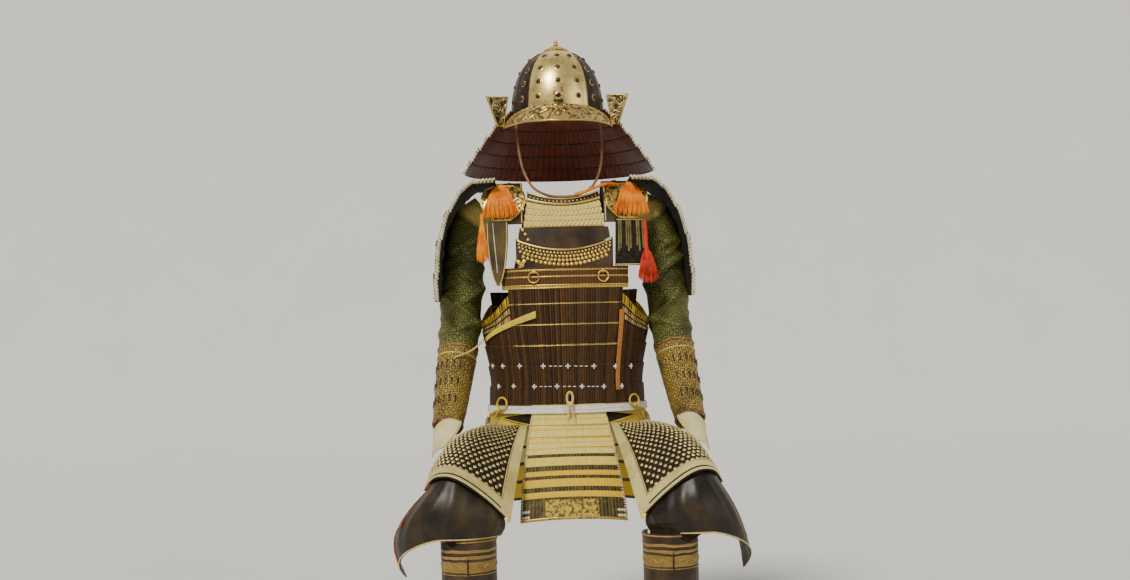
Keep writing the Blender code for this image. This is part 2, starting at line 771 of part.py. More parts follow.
SHIN_X = {"right": 189 * MM, "left": 214 * MM}
SHIN_Y = -397 * MM
SHIN_TOP = -243 * MM
SHIN_FOOT = -585 * MM
SHIN_SPREAD = 128.0
KNEE_WING = {"right": 0.0, "left": 30 * MM}


def shin_point(u, v, middle):
    """The shin guard's outer face, open down the calf, with middle as its centre line's x."""
    turn = math.radians(lerp(-SHIN_SPREAD, SHIN_SPREAD, u))
    radius = lerp(56, 43, v) * MM + 3 * MM * math.sin(math.pi * v)
    reach = radius + 1.5 * MM * math.exp(-((turn / 0.14) ** 2))
    return Vector((middle + reach * math.sin(turn), SHIN_Y - reach * math.cos(turn),
                   lerp(SHIN_TOP, SHIN_FOOT, v)))


def knee_point(u, v, wing_bulge):
    """The knee guard's outer face, from under the thigh guard down to the shin guard and outwards."""
    top = moved(thigh_point, -THIGH_WALL - 1.2 * MM)(lerp(1 / 12, 1.0, u), 0.968)
    turn = math.radians(lerp(-68, 112, u))
    half = 94 * MM if turn < 0 else 122 * MM
    wing = max(0.0, (u - 0.46) / 0.54)
    foot = Vector((235 * MM + half * math.sin(turn), -352 * MM - 104 * MM * math.cos(turn),
                   SHIN_TOP + 0.4 * MM - 92 * MM * wing**1.4))
    bulge = 20 * MM * (0.45 + 0.55 * math.sin(math.pi * min(u * 1.2, 1))) * math.sin(math.pi * v)
    bulge += wing_bulge * wing * math.sin(math.pi * max(0.0, (v - 0.17) / 0.83))
    return top.lerp(foot, v) + Vector((math.sin(turn), -math.cos(turn), 0)) * bulge


def build_legs():
    """Both thigh guards with the knee and shin guards that hang and stand below them."""
    for side, mirrored in (("right", False), ("left", True)):
        wall(f"thigh_guard_{side}", "studded_black", thigh_point, moved(thigh_point, -THIGH_WALL),
             spread(13), spread(10), mirrored=mirrored)
        knee = lambda u, v: knee_point(u, v, KNEE_WING[side])
        wall(f"knee_guard_{side}", "brown_leather", knee, moved(knee, -PLATE_WALL),
             spread(12), spread(7), mirrored=mirrored)
        shin = lambda u, v: shin_point(u, v, SHIN_X[side])
        wall(f"shin_guard_{side}", "brown_leather", shin, moved(shin, -PLATE_WALL),
             spread(14), spread(4), mirrored=mirrored)


def pendant_wall(name, finish, half_widths, reach, middle, mirrored):
    """A plate hung below a leaf plate's tip, leaning forwards over the chest."""
    head = leaf_face(middle, 1.0).z - 0.5 * MM

    def face(u, v, out):
        x = middle + along(half_widths, v)[0] * (2 * u - 1)
        lean = PENDANT_LEAN * v**0.8
        return Vector((x, leaf_face(x, 1.0).y - LEAF_GAP - lean - out, head - reach * v))

    return wall(name, finish, lambda u, v: face(u, v, PENDANT_WALL), lambda u, v: face(u, v, 0.0),
                spread(6), spread(8), mirrored=mirrored)


PENDANT_LEAN = 12 * MM
PENDANT_WALL = 3 * MM
NARROW_REACH = 142 * MM
WIDE_REACH = 104 * MM


class PendantSection(NamedTuple):
    """A hung plate's half width at a share of its length."""

    share: float
    half_width: float


NARROW_PENDANT = (
    PendantSection(0.00, 24 * MM),
    PendantSection(0.35, 23 * MM),
    PendantSection(0.70, 17 * MM),
    PendantSection(0.90, 10 * MM),
    PendantSection(1.00, 3 * MM),
)
WIDE_PENDANT = (
    PendantSection(0.00, 32 * MM),
    PendantSection(0.50, 34 * MM),
    PendantSection(1.00, 36 * MM),
)


class TasselShape(NamedTuple):
    """A tassel's head and skirt: lengths, half widths and the strands in each of its two layers."""

    head: float
    length: float
    half_top: float
    half_foot: float
    depth: float
    strands: int


def tassel(name, finish, shape, line, mirrored=False):
    """A tassel whose strands grow out of the foot of one head.

    line(across, down, back) is a point that far across, down and out of the face it lies on.
    """
    layers = 2
    bm = bmesh.new()

    def place(i, j, down, spread_share):
        """A corner of the strand grid: i across, j in depth, down in metres from the top."""
        half = lerp(shape.half_top, shape.half_foot, spread_share)
        across = half * (2 * i / shape.strands - 1)
        back = shape.depth * lerp(1.0, 1.25, spread_share) * (1 - j / layers)
        return line(across, down, back)

    top = [[bm.verts.new(place(i, j, 0.0, 0.0)) for i in range(shape.strands + 1)] for j in range(layers + 1)]
    foot = [[bm.verts.new(place(i, j, shape.head, 0.12)) for i in range(shape.strands + 1)]
            for j in range(layers + 1)]
    for j in range(layers):
        for i in range(shape.strands):
            bm.faces.new((top[j][i], top[j][i + 1], top[j + 1][i + 1], top[j + 1][i]))
    for j in (0, layers):
        for i in range(shape.strands):
            bm.faces.new((top[j][i], top[j][i + 1], foot[j][i + 1], foot[j][i]))
    for i in (0, shape.strands):
        for j in range(layers):
            bm.faces.new((top[j][i], top[j + 1][i], foot[j + 1][i], foot[j][i]))
    inset = 0.16
    for j in range(layers):
        for i in range(shape.strands):
            corners = [(i, j), (i + 1, j), (i + 1, j + 1), (i, j + 1)]
            edge = [foot[b][a] for a, b in corners]
            middle_i, middle_j = i + 0.5, j + 0.5
            rings = []
            end = 1 - 0.06 * ((i * 7 + j * 3) % 4) / 3
            for share in (0.0, 0.5, end):
                down = lerp(shape.head, shape.length, share)
                fan = lerp(0.12, 0.62, share / 0.5) if share < 0.5 else lerp(0.62, 1.0, (share - 0.5) / 0.5)
                rings.append([bm.verts.new(place(lerp(a, middle_i, inset), lerp(b, middle_j, inset), down, fan))
                              for a, b in corners])
            for ring_a, ring_b in zip([edge] + rings, rings):
                for k in range(4):
                    m = (k + 1) % 4
                    bm.faces.new((ring_a[k], ring_a[m], ring_b[m], ring_b[k]))
            bm.faces.new(rings[-1])
    return add_mesh(name, finish, bm, mirrored)


def build_hangings():
    """The hung plates, the large tassels over the leaf plates and the small ones beside them."""
    pendant_wall("narrow_pendant_left", "brown_leather", NARROW_PENDANT, NARROW_REACH, 148 * MM, True)
    pendant_wall("wide_pendant_right", "studded_black", WIDE_PENDANT, WIDE_REACH, 148 * MM, False)
    big = TasselShape(12 * MM, 80 * MM, 9 * MM, 42 * MM, 9 * MM, 12)
    face_gap = LEAF_GAP + LEAF_WALL + 2.1 * MM

    def on_leaf(middle):
        """The leaf plate's face, with back as the way out of it."""

        def line(across, down, back):
            x = middle + across
            v = 0.13 + down / (98 * MM)
            step = 1e-3
            normal = (leaf_face(x, v + step) - leaf_face(x, v - step)).cross(
                leaf_face(x + step, v) - leaf_face(x - step, v)).normalized()
            return leaf_face(x, v) + normal * (face_gap + back)

        return line

    tassel("tassel_large_right", "orange_silk", big, on_leaf(149 * MM))
    tassel("tassel_large_left", "orange_silk", big, on_leaf(137 * MM), True)

    def below_leaf(across, down, back):
        """A face that hangs from under the leaf plate's outer edge."""
        x = 181.6 * MM + across
        return Vector((x, leaf_face(x, 0.8).y - 0.4 * MM - 0.06 * down - back, 427 * MM - down))

    def on_pendant(across, down, back):
        """The wide hung plate's face carried on down."""
        x = 181 * MM + 0.03 * down + across
        lean = PENDANT_LEAN * (down / WIDE_REACH) ** 0.8
        y = leaf_face(x, 1.0).y - LEAF_GAP - lean - PENDANT_WALL - 1.8 * MM
        return Vector((x, y - back, 404 * MM - down))

    small = TasselShape(36 * MM, 111 * MM, 3.5 * MM, 15 * MM, 3.6 * MM, 4)
    tassel("tassel_small_left", "orange_silk", small, below_leaf, True)
    low = TasselShape(96 * MM, 142 * MM, 4 * MM, 26 * MM, 7 * MM, 6)
    tassel("tassel_small_right", "red_silk", low, on_pendant)


RING_HEIGHT = 280 * MM
RING_PLACES = (("right", 81 * MM), ("left", -68 * MM))
RING_RADIUS = 12 * MM
RING_WIRE = 1.8 * MM


def build_chest_rings():
    """The two metal rings that lie against the chest band."""
    rounds, sides = 16, 5
    up = Vector((0, 0, 1))
    for side, across in RING_PLACES:
        angle = body_angle(across, RING_HEIGHT)
        face = body_point(angle, RING_HEIGHT, 2.4 * MM)
        out = (body_point(angle, RING_HEIGHT, 10 * MM) - face).normalized()
        level = up.cross(out).normalized()
        centre = face + out * (RING_WIRE + 1.35 * MM)
        bm = bmesh.new()
        grid = []
        for i in range(rounds):
            turn = math.tau * i / rounds
            arm = level * math.cos(turn) + up * math.sin(turn)
            bends = [math.tau * k / sides for k in range(sides)]
            grid.append([bm.verts.new(centre + arm * (RING_RADIUS + RING_WIRE * math.cos(bend))
                                      + out * RING_WIRE * math.sin(bend)) for bend in bends])
        for i in range(rounds):
            for k in range(sides):
                bm.faces.new((grid[i][k], grid[(i + 1) % rounds][k],
                              grid[(i + 1) % rounds][(k + 1) % sides], grid[i][(k + 1) % sides]))
        add_mesh(f"chest_ring_{side}", "gilt", bm)


def on_cuirass(name, finish, edge, wall_depth, lift, columns, rows):
    """A strip laid on the body wall; edge(u) gives its angle and its lower and upper height."""

    def point(u, v, out):
        angle, low, high = edge(u)
        return body_point(angle, lerp(high, low, v), out)

    return wall(name, finish, lambda u, v: point(u, v, LAME_STEP + lift + wall_depth),
                lambda u, v: point(u, v, LAME_STEP + lift), spread(columns), spread(rows))


def build_cuirass_trim():
    """The slanting gold edge band and the upright hinge strip on the body wall."""

    def slant(u):
        angle = lerp(-20.0, -72.0, u)
        middle = lerp(199, 146, u) * MM
        half = lerp(7.5, 4.5, u) * MM
        return angle, middle - half, middle + half

    def hinge(u):
        return lerp(36.9, 40.6, u), 28 * MM, 206 * MM

    on_cuirass("slanted_edge_band", "yellow_lacing", slant, 1.6 * MM, 0.5 * MM, 9, 2)
    on_cuirass("hinge_strip", "brown_leather", hinge, 1.8 * MM, 0.7 * MM, 3, 9)


def cord(name, finish, route, diameter, samples):
    """A cord along a smooth curve through the route's points."""
    rows = [(i / (len(route) - 1), *point) for i, point in enumerate(route)]
    points = [along(rows, t) for t in spread(samples)]
    curve = bpy.data.curves.new(name, "CURVE")
    curve.dimensions = "3D"
    curve.bevel_depth = diameter / 2
    curve.bevel_resolution = 2
    curve.use_fill_caps = True
    spline = curve.splines.new("POLY")
    spline.points.add(len(points) - 1)
    for target, point in zip(spline.points, points):
        target.co = (*point, 1.0)
    curve.materials.append(FINISHES[finish])
    made = bpy.data.objects.new(name, curve)
    bpy.context.scene.collection.objects.link(made)
    return made


CHIN_CORD = (
    (-0.1010, -0.020, 0.668), (-0.1008, -0.026, 0.640), (-0.0985, -0.040, 0.604), (-0.0945, -0.062, 0.560),
    (-0.0845, -0.085, 0.515), (-0.0660, -0.102, 0.4805), (-0.0420, -0.1095, 0.4648), (-0.0200, -0.1120, 0.4585),
    (0.0200, -0.1120, 0.4585), (0.0420, -0.1095, 0.4648), (0.0660, -0.102, 0.4805), (0.0835, -0.085, 0.515),
    (0.0905, -0.062, 0.560), (0.0915, -0.040, 0.604), (0.0912, -0.026, 0.640), (0.0910, -0.020, 0.668),
)
CHIN_TAIL = (
    (0.026, -0.1190, 0.4632), (0.048, -0.1175, 0.4670), (0.066, -0.1135, 0.4740), (0.082, -0.1065, 0.4810),
    (0.098, -0.0935, 0.4860), (0.111, -0.0798, 0.4868), (0.122, -0.0686, 0.4858),
)
SIDE_CORD = (
    (-0.1856, -0.0440, 0.1455), (-0.197, -0.0520, 0.134), (-0.209, -0.0600, 0.125), (-0.222, -0.0680, 0.118),
    (-0.236, -0.0722, 0.113), (-0.250, -0.0734, 0.108),
)


def build_cords():
    """The chin cord and its tied end, the side cord and the sash's bow."""
    cord("chin_cord", "brown_leather", CHIN_CORD, 6 * MM, 34)
    cord("chin_cord_tail", "orange_silk", CHIN_TAIL, 7 * MM, 12)
    cord("side_cord", "yellow_lacing", SIDE_CORD, 4 * MM, 12)


def main():
    """Builds every piece of the armour."""
    build_helmet()
    build_cuirass_body()
    build_chest()
    build_upper_back()
    build_shoulders()
    build_shoulder_guards()
    build_arms()
    build_tassets()
    build_legs()
    build_hangings()
    build_chest_rings()
    build_cuirass_trim()
    build_cords()


for leftover in list(bpy.data.objects):
    bpy.data.objects.remove(leftover)
FINISHES = finishes()
main()
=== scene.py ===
"""Samurai armour, dressed: its finishes, lacing, beads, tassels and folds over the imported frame.

Metres, +Z up, and the front faces -Y. A panel is a wall over a surface of two shares: u runs across it and
v runs down it. Pieces of a pair are worked out on the +X side and mirrored for the other one.
"""

import logging
import math
from dataclasses import dataclass, field
from enum import Enum
from typing import Callable, Iterable, Optional, Sequence, Union

import bpy
import numpy as np
from mathutils import Matrix, Vector


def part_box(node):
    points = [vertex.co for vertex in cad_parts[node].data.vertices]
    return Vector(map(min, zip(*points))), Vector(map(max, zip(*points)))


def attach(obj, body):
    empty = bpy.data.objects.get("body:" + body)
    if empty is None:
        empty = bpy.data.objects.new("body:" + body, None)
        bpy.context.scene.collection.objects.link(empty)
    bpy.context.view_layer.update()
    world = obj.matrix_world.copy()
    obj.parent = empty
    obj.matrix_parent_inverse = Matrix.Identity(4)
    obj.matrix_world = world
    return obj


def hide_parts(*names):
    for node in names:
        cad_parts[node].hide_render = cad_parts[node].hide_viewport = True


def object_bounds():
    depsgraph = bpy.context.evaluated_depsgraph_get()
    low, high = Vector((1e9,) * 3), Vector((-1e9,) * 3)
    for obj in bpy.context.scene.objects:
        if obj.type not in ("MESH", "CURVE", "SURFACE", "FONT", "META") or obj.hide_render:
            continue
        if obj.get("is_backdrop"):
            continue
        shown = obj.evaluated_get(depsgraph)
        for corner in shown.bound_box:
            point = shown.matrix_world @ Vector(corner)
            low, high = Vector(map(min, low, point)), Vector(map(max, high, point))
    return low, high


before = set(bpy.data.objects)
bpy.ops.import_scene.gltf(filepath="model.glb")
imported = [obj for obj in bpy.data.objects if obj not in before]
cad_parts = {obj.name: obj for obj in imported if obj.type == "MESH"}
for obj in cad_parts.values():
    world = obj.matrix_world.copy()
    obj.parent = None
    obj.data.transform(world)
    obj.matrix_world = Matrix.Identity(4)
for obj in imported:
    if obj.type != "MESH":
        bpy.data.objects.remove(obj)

LOG = logging.getLogger("armour")
MM = 0.001
Surface = Callable[[float, float], Vector]
Relief = Callable[[np.ndarray, np.ndarray], np.ndarray]
Colour = tuple[float, float, float]


class Side(Enum):
    """The two sides of the armour as they are seen from the front."""

    RIGHT = 1
    LEFT = -1

    @property
    def word(self) -> str:
        """The side's name in a piece's name."""
        return self.name.lower()


# ---------------------------------------------------------------- shapes shared by several pieces


def lerp(start: float, end: float, share: float) -> float:
    """The value that share of the way from start to end."""
    return start + (end - start) * share


def along(rows: Sequence[Sequence[float]], place: float) -> list[float]:
    """Every column but the first of a table, on smooth curves through its rows.

    Args:
        rows: The table's rows, each starting with its place.
        place: Where to read it.

    Returns:
        The other columns' values there.
    """
    places = [row[0] for row in rows]
    place = min(max(place, places[0]), places[-1])
    k = max(i for i in range(len(rows) - 1) if places[i] <= place)
    gap = places[k + 1] - places[k]
    t = (place - places[k]) / gap
    before, after = max(k - 1, 0), min(k + 2, len(rows) - 1)
    values = []
    for column in range(1, len(rows[0])):
        a, b = rows[k][column], rows[k + 1][column]
        slope_a = (b - rows[before][column]) / (places[k + 1] - places[before]) * gap
        slope_b = (rows[after][column] - a) / (places[after] - places[k]) * gap
        values.append(
            a * (2 * t**3 - 3 * t**2 + 1)
            + slope_a * (t**3 - 2 * t**2 + t)
            + b * (3 * t**2 - 2 * t**3)
            + slope_b * (t**3 - t**2)
        )
    return values


# the rows of lacing on a laced panel, in mm
LACE_PITCH = 5.6
LACE_DEPTH = 0.35

# height, half width, front depth, back depth in mm
BODY = [
    (-60, 184, 132, 121), (0, 177, 126, 116), (60, 173, 124, 115), (180, 190, 135, 126),
    (254, 196, 138, 131), (350, 193, 131, 130), (430, 182, 117, 122), (500, 168, 98, 106),
]


def body_point(angle: float, height: float, out: float = 0.0) -> Vector:
    """A point of the body's surface.

    Args:
        angle: Degrees from the front towards +X.
        height: Height over the cuirass's lower edge, in mm.
        out: Distance out of the surface, in mm.

    Returns:
        The point, in metres.
    """
    half_width, front, back = along(BODY, height)
    turn = math.radians(angle)
    depth = front if math.cos(turn) > 0 else back
    return Vector(((half_width + out) * math.sin(turn), -(depth + out) * math.cos(turn), height)) * MM


def body_angle(x: float, height: float) -> float:
    """The angle at which the body's front is x mm from the middle."""
    return math.degrees(math.asin(x / along(BODY, height)[0]))


def shifted(surface: Surface, across: float) -> Surface:
    """The surface moved along X by that many mm."""
    return lambda u, v: surface(u, v) + Vector((across * MM, 0, 0))


def saw(edges: Sequence[float], step: float, ramp: float) -> Relief:
    """The stepped face of a laced panel, whose lames each stand out over the one above.

    Args:
        edges: Share down the panel of each lame's upper edge.
        step: How far an upper edge stands out, in metres.
        ramp: Share over which the face rises to it.

    Returns:
        The relief as a function of the shares.
    """
    starts = np.array(list(edges) + [1.0])

    def rise(u: np.ndarray, v: np.ndarray) -> np.ndarray:
        """Height of the steps there."""
        k = np.clip(np.searchsorted(starts, v + 1e-9, side="right") - 1, 0, len(starts) - 2)
        low, high = starts[k], starts[k + 1]
        fall = 1 - (v - low) / (high - low)
        climb = np.clip((v - low) / ramp, 0, 1)
        if edges[0] <= 0:
            climb = np.where(k > 0, climb, 1)
        return step * np.clip(fall, 0, 1) * climb * (v >= starts[0] - 1e-9)

    return rise


def laced(steps: Relief, width: float) -> Relief:
    """The steps of a panel's lames with upright rows of lacing on them.

    Args:
        steps: The relief of the lames.
        width: The panel's width in metres.

    Returns:
        The relief as a function of the shares.
    """

    def rise(u: np.ndarray, v: np.ndarray) -> np.ndarray:
        """Height of the lames and their lacing there."""
        rows = 0.5 + 0.5 * np.cos(u * width / (LACE_PITCH * MM) * math.tau)
        return steps(u, v) + LACE_DEPTH * MM * rows - LACE_DEPTH * MM

    return rise


def lame_rows(edges: Sequence[float], ramp: float, each: int) -> list[float]:
    """Places down a stepped panel: close at each lame's upper edge and even below it."""
    starts = ([0.0] if edges[0] > 0 else []) + list(edges)
    rows: list[float] = []
    for start, end in zip(starts, starts[1:] + [1.0]):
        rows += [start, start + ramp] + [lerp(start + ramp, end, (k + 1) / each) for k in range(each - 1)]
    return rows + [1.0]


# ---------------------------------------------------------------- finishes


class Paint:
    """A finish's node tree while it is put together."""

    def __init__(self, name: str, roughness: float, metallic: float = 0.0, **sockets: float) -> None:
        """Starts a material whose even values are set on the shader's own sockets.

        Args:
            name: The finish's name.
            roughness: The surface's even roughness.
            metallic: 1 for metal.
            **sockets: Further shader inputs by name, with _ for a space.
        """
        self.material = bpy.data.materials.new(name)
        self.material.use_nodes = True
        self.tree = self.material.node_tree
        self.shader = self.tree.nodes["Principled BSDF"]
        self.shader.inputs["Roughness"].default_value = roughness
        self.shader.inputs["Metallic"].default_value = metallic
        for socket, value in sockets.items():
            self.shader.inputs[socket.replace("_", " ")].default_value = value

    def node(self, kind: str, *inputs: object, **settings: object) -> bpy.types.Node:
        """Adds a node.

        Args:
            kind: The node's type without its ShaderNode prefix.
            *inputs: A value or socket for each input in order, or None to leave it.
            **settings: The node's own properties.

        Returns:
            The node.
        """
        made = self.tree.nodes.new("ShaderNode" + kind)
        for setting, value in settings.items():
            setattr(made, setting, value)
        for socket, value in zip(made.inputs, inputs):
            if isinstance(value, bpy.types.NodeSocket):
                self.tree.links.new(value, socket)
            elif value is not None:
                socket.default_value = value
        return made

    def place(self, scale: Union[float, Sequence[float]] = 1.0, turn: float = 0.0) -> bpy.types.NodeSocket:
        """The point on the piece, scaled, and turned about Z."""
        size = (scale, scale, scale) if isinstance(scale, (int, float)) else tuple(scale)
        coords = self.node("TexCoord").outputs["Object"]
        return self.node("Mapping", coords, None, (0.0, 0.0, turn), size).outputs[0]

    def cut(self) -> tuple[bpy.types.NodeSocket, bpy.types.NodeSocket]:
        """Metres across and down the panel."""
        split = self.node("SeparateXYZ", self.node("UVMap", uv_map="cut").outputs[0])
        return split.outputs[0], split.outputs[1]

    def share(self) -> tuple[bpy.types.NodeSocket, bpy.types.NodeSocket]:
        """Shares across and down the panel."""
        split = self.node("SeparateXYZ", self.node("UVMap", uv_map="share").outputs[0])
        return split.outputs[0], split.outputs[1]

    def sum(self, operation: str, first: object, second: object = None,
            third: object = None) -> bpy.types.NodeSocket:
        """One step of arithmetic on values or sockets."""
        return self.node("Math", first, second, third, operation=operation).outputs[0]

    def noise(self, vector: bpy.types.NodeSocket, scale: float, detail: float = 3.0) -> bpy.types.NodeSocket:
        """Soft noise from 0 to 1."""
        return self.node("TexNoise", vector, None, scale, detail).outputs[0]

    def ramp(self, value: bpy.types.NodeSocket, stops: Sequence[tuple[float, Colour]],
             steps: bool = False) -> bpy.types.NodeSocket:
        """Colours by value.

        Args:
            value: What picks the colour.
            stops: Place and colour of each stop.
            steps: Whether each colour holds up to the next stop.

        Returns:
            The colour.
        """
        made = self.node("ValToRGB", value)
        made.color_ramp.interpolation = "CONSTANT" if steps else "LINEAR"
        elements = made.color_ramp.elements
        elements.remove(elements[1])
        elements[0].position = stops[0][0]
        elements[0].color = (*stops[0][1], 1.0)
        for place, colour in stops[1:]:
            elements.new(place).color = (*colour, 1.0)
        return made.outputs[0]

    def mix(self, share: object, first: object, second: object) -> bpy.types.NodeSocket:
        """A colour between two."""
        made = self.node("Mix", data_type="RGBA")
        for socket, value in ((made.inputs[0], share), (made.inputs[6], first), (made.inputs[7], second)):
            if isinstance(value, bpy.types.NodeSocket):
                self.tree.links.new(value, socket)
            else:
                socket.default_value = value if isinstance(value, float) else (*value, 1.0)
        return made.outputs[2]

    def wave(self, value: bpy.types.NodeSocket, pitch: float) -> bpy.types.NodeSocket:
        """A smooth wave from 0 to 1 that repeats every pitch metres."""
        turned = self.sum("SINE", self.sum("MULTIPLY", value, math.tau / pitch))
        return self.sum("MULTIPLY_ADD", turned, 0.5, 0.5)

    def done(self, colour: object, height: Optional[bpy.types.NodeSocket] = None, depth: float = 0.3,
             rough: Optional[bpy.types.NodeSocket] = None) -> bpy.types.Material:
        """Joins the tree to the shader.

        Args:
            colour: The base colour's socket.
            height: The relief, from 0 to 1.
            depth: The relief's depth in mm.
            rough: The roughness where it varies.

        Returns:
            The material.
        """
        self.tree.links.new(colour, self.shader.inputs["Base Color"])
        if height is not None:
            bump = self.node("Bump", 1.0, depth * MM)
            self.tree.links.new(height, bump.inputs["Height"])
            self.tree.links.new(bump.outputs[0], self.shader.inputs["Normal"])
        if rough is not None:
            self.tree.links.new(rough, self.shader.inputs["Roughness"])
        return self.material


@dataclass(frozen=True)
class Metal:
    """Gilt or iron, plain or worked over with a low scrolling relief, darker in its hollows."""

    name: str
    light: Colour
    dark: Colour
    roughness: float
    scroll: float = 0.0

    def make(self) -> bpy.types.Material:
        """Builds the material."""
        paint = Paint(self.name, self.roughness, 1.0)
        place = paint.place()
        wear = paint.noise(place, 60, 5)
        rough = paint.sum("MULTIPLY_ADD", paint.noise(place, 190, 4), 0.3, self.roughness - 0.12)
        if not self.scroll:
            colour = paint.ramp(wear, [(0.30, self.dark), (0.62, self.light)])
            return paint.done(colour, paint.noise(place, 420, 4), 0.12, rough)
        bend = paint.node("TexNoise", place, None, self.scroll * 0.45, 1.0).outputs[1]
        bent = paint.node("VectorMath", place, paint.node("VectorMath", bend, (0.035, 0.035, 0.035),
                                                          operation="MULTIPLY").outputs[0], operation="ADD")
        cells = paint.node("TexVoronoi", bent.outputs[0], None, self.scroll, feature="SMOOTH_F1").outputs[0]
        rings = paint.wave(cells, 0.34)
        relief = paint.sum("MULTIPLY_ADD", paint.noise(place, 300, 3), 0.25, rings)
        tone = paint.mix(wear, self.dark, self.light)
        colour = paint.mix(paint.node("MapRange", rings, 0.05, 0.55, 0.0, 1.0).outputs[0],
                           tuple(c * 0.32 for c in self.dark), tone)
        return paint.done(colour, relief, 1.1, rough)


@dataclass(frozen=True)
class HelmetIron:
    """The bowl's russet iron, with bright gilt plates over its front."""

    name: str
    iron: Colour
    rust: Colour
    plate: Colour
    plate_dark: Colour
    plate_half: float

    def make(self) -> bpy.types.Material:
        """Builds the material."""
        paint = Paint(self.name, 0.4)
        place = paint.place()
        u, _ = paint.share()
        away = paint.sum("ABSOLUTE", paint.sum("SUBTRACT", paint.sum("FRACT", paint.sum("ADD", u, 0.5)), 0.5))
        on_plate = paint.sum("LESS_THAN", away, self.plate_half / 360)
        spots = paint.noise(place, 46, 6)
        iron = paint.ramp(spots, [(0.34, self.iron), (0.68, self.rust)])
        plate = paint.ramp(spots, [(0.30, self.plate_dark), (0.56, self.plate)])
        grain = paint.noise(place, 330, 4)
        rough = paint.sum("MULTIPLY_ADD", on_plate, -0.16, paint.sum("MULTIPLY_ADD", grain, 0.25, 0.34))
        paint.shader.inputs["Metallic"].default_value = 0.85
        return paint.done(paint.mix(on_plate, iron, plate), grain, 0.15, rough)


@dataclass(frozen=True)
class Lacquer:
    """Glossy lacquer over scales, with a painted highlight along each scale's crest and its lacing worn
    through here and there.
    """

    name: str
    colour: Colour
    # worn is the colour of the worn patches and also of the painted highlight along the scales' crests
    worn: Colour
    gloss: float

    def make(self) -> bpy.types.Material:
        """Builds the material."""
        paint = Paint(self.name, self.gloss, Specular_IOR_Level=0.3, Coat_Weight=0.15, Coat_Roughness=0.2)
        place = paint.place()
        cloud = paint.noise(place, 24, 6)
        x, _ = paint.cut()
        scales = paint.wave(x, 0.0125)
        # each scale's crest is painted lighter towards the worn colour as a painted highlight
        crest_highlit = paint.mix(paint.sum("MULTIPLY", scales, 0.35), self.colour, self.worn)
        colour = paint.mix(paint.node("MapRange", cloud, 0.56, 0.75, 0.0, 0.8).outputs[0], crest_highlit, self.worn)
        relief = paint.sum("MULTIPLY_ADD", paint.noise(place, 240, 4), 0.3, paint.sum("POWER", scales, 3.0))
        return paint.done(colour, relief, 0.5, paint.sum("MULTIPLY_ADD", cloud, 0.25, self.gloss - 0.08))


@dataclass(frozen=True)
class Lacing:
    """Rows of silk lacing: plaited cords of one pitch across the panel, in bands of colour down it, with
    painted shade in the grooves between the cords.
    """

    name: str
    bands: tuple[tuple[float, Colour], ...]
    # shadow is the colour of the painted shade in the grooves between the cords; each cord's random darker
    # tone and the mottle also lean towards it
    shadow: Colour
    pitch: float = 6.0
    streak: float = 0.25
    # rib sets how strong the painted shade between the cords is, and also the depth of their relief
    rib: float = 0.65
    patch: Optional[tuple[float, float, float, Colour, Colour]] = None

    def make(self) -> bpy.types.Material:
        """Builds the material."""
        paint = Paint(self.name, 0.62, Specular_IOR_Level=0.22)
        place = paint.place()
        x, y = paint.cut()
        u, v = paint.share()
        base = paint.ramp(v, list(self.bands), steps=True)
        step = paint.sum("FLOOR", paint.sum("DIVIDE", x, self.pitch * MM))
        tone = paint.node("TexWhiteNoise", None, step, noise_dimensions="1D").outputs[0]
        slant = paint.sum("ADD", paint.sum("MULTIPLY", paint.wave(x, self.pitch * MM), 0.0016), y)
        plait = paint.wave(slant, 0.0042)
        ribs = paint.sum("POWER", paint.wave(x, self.pitch * MM), 0.6)
        relief = paint.sum("MULTIPLY_ADD", plait, 0.35, ribs)
        mottle = paint.noise(place, 95, 4)
        # painted shade in the grooves between the cords, then each cord's own random tone and a mottle darken
        # it further
        dark = paint.sum("MULTIPLY", paint.sum("SUBTRACT", 1.0, ribs), self.rib)
        dark = paint.sum("ADD", dark, paint.sum("MULTIPLY", tone, self.streak))
        dark = paint.sum("ADD", dark, paint.sum("MULTIPLY", paint.sum("SUBTRACT", mottle, 0.4), 0.6))
        colour = paint.mix(paint.sum("MINIMUM", paint.sum("MAXIMUM", dark, 0.0), 1.0), base, self.shadow)
        if self.patch:
            left, right, top, light, deep = self.patch
            inside = paint.sum("MULTIPLY", paint.sum("GREATER_THAN", u, left),
                               paint.sum("LESS_THAN", u, right))
            inside = paint.sum("MULTIPLY", inside, paint.sum("GREATER_THAN", v, top))
            figure = paint.ramp(paint.noise(place, 130, 4), [(0.42, deep), (0.55, light)])
            colour = paint.mix(inside, colour, figure)
        return paint.done(colour, relief, 0.15 + self.rib)


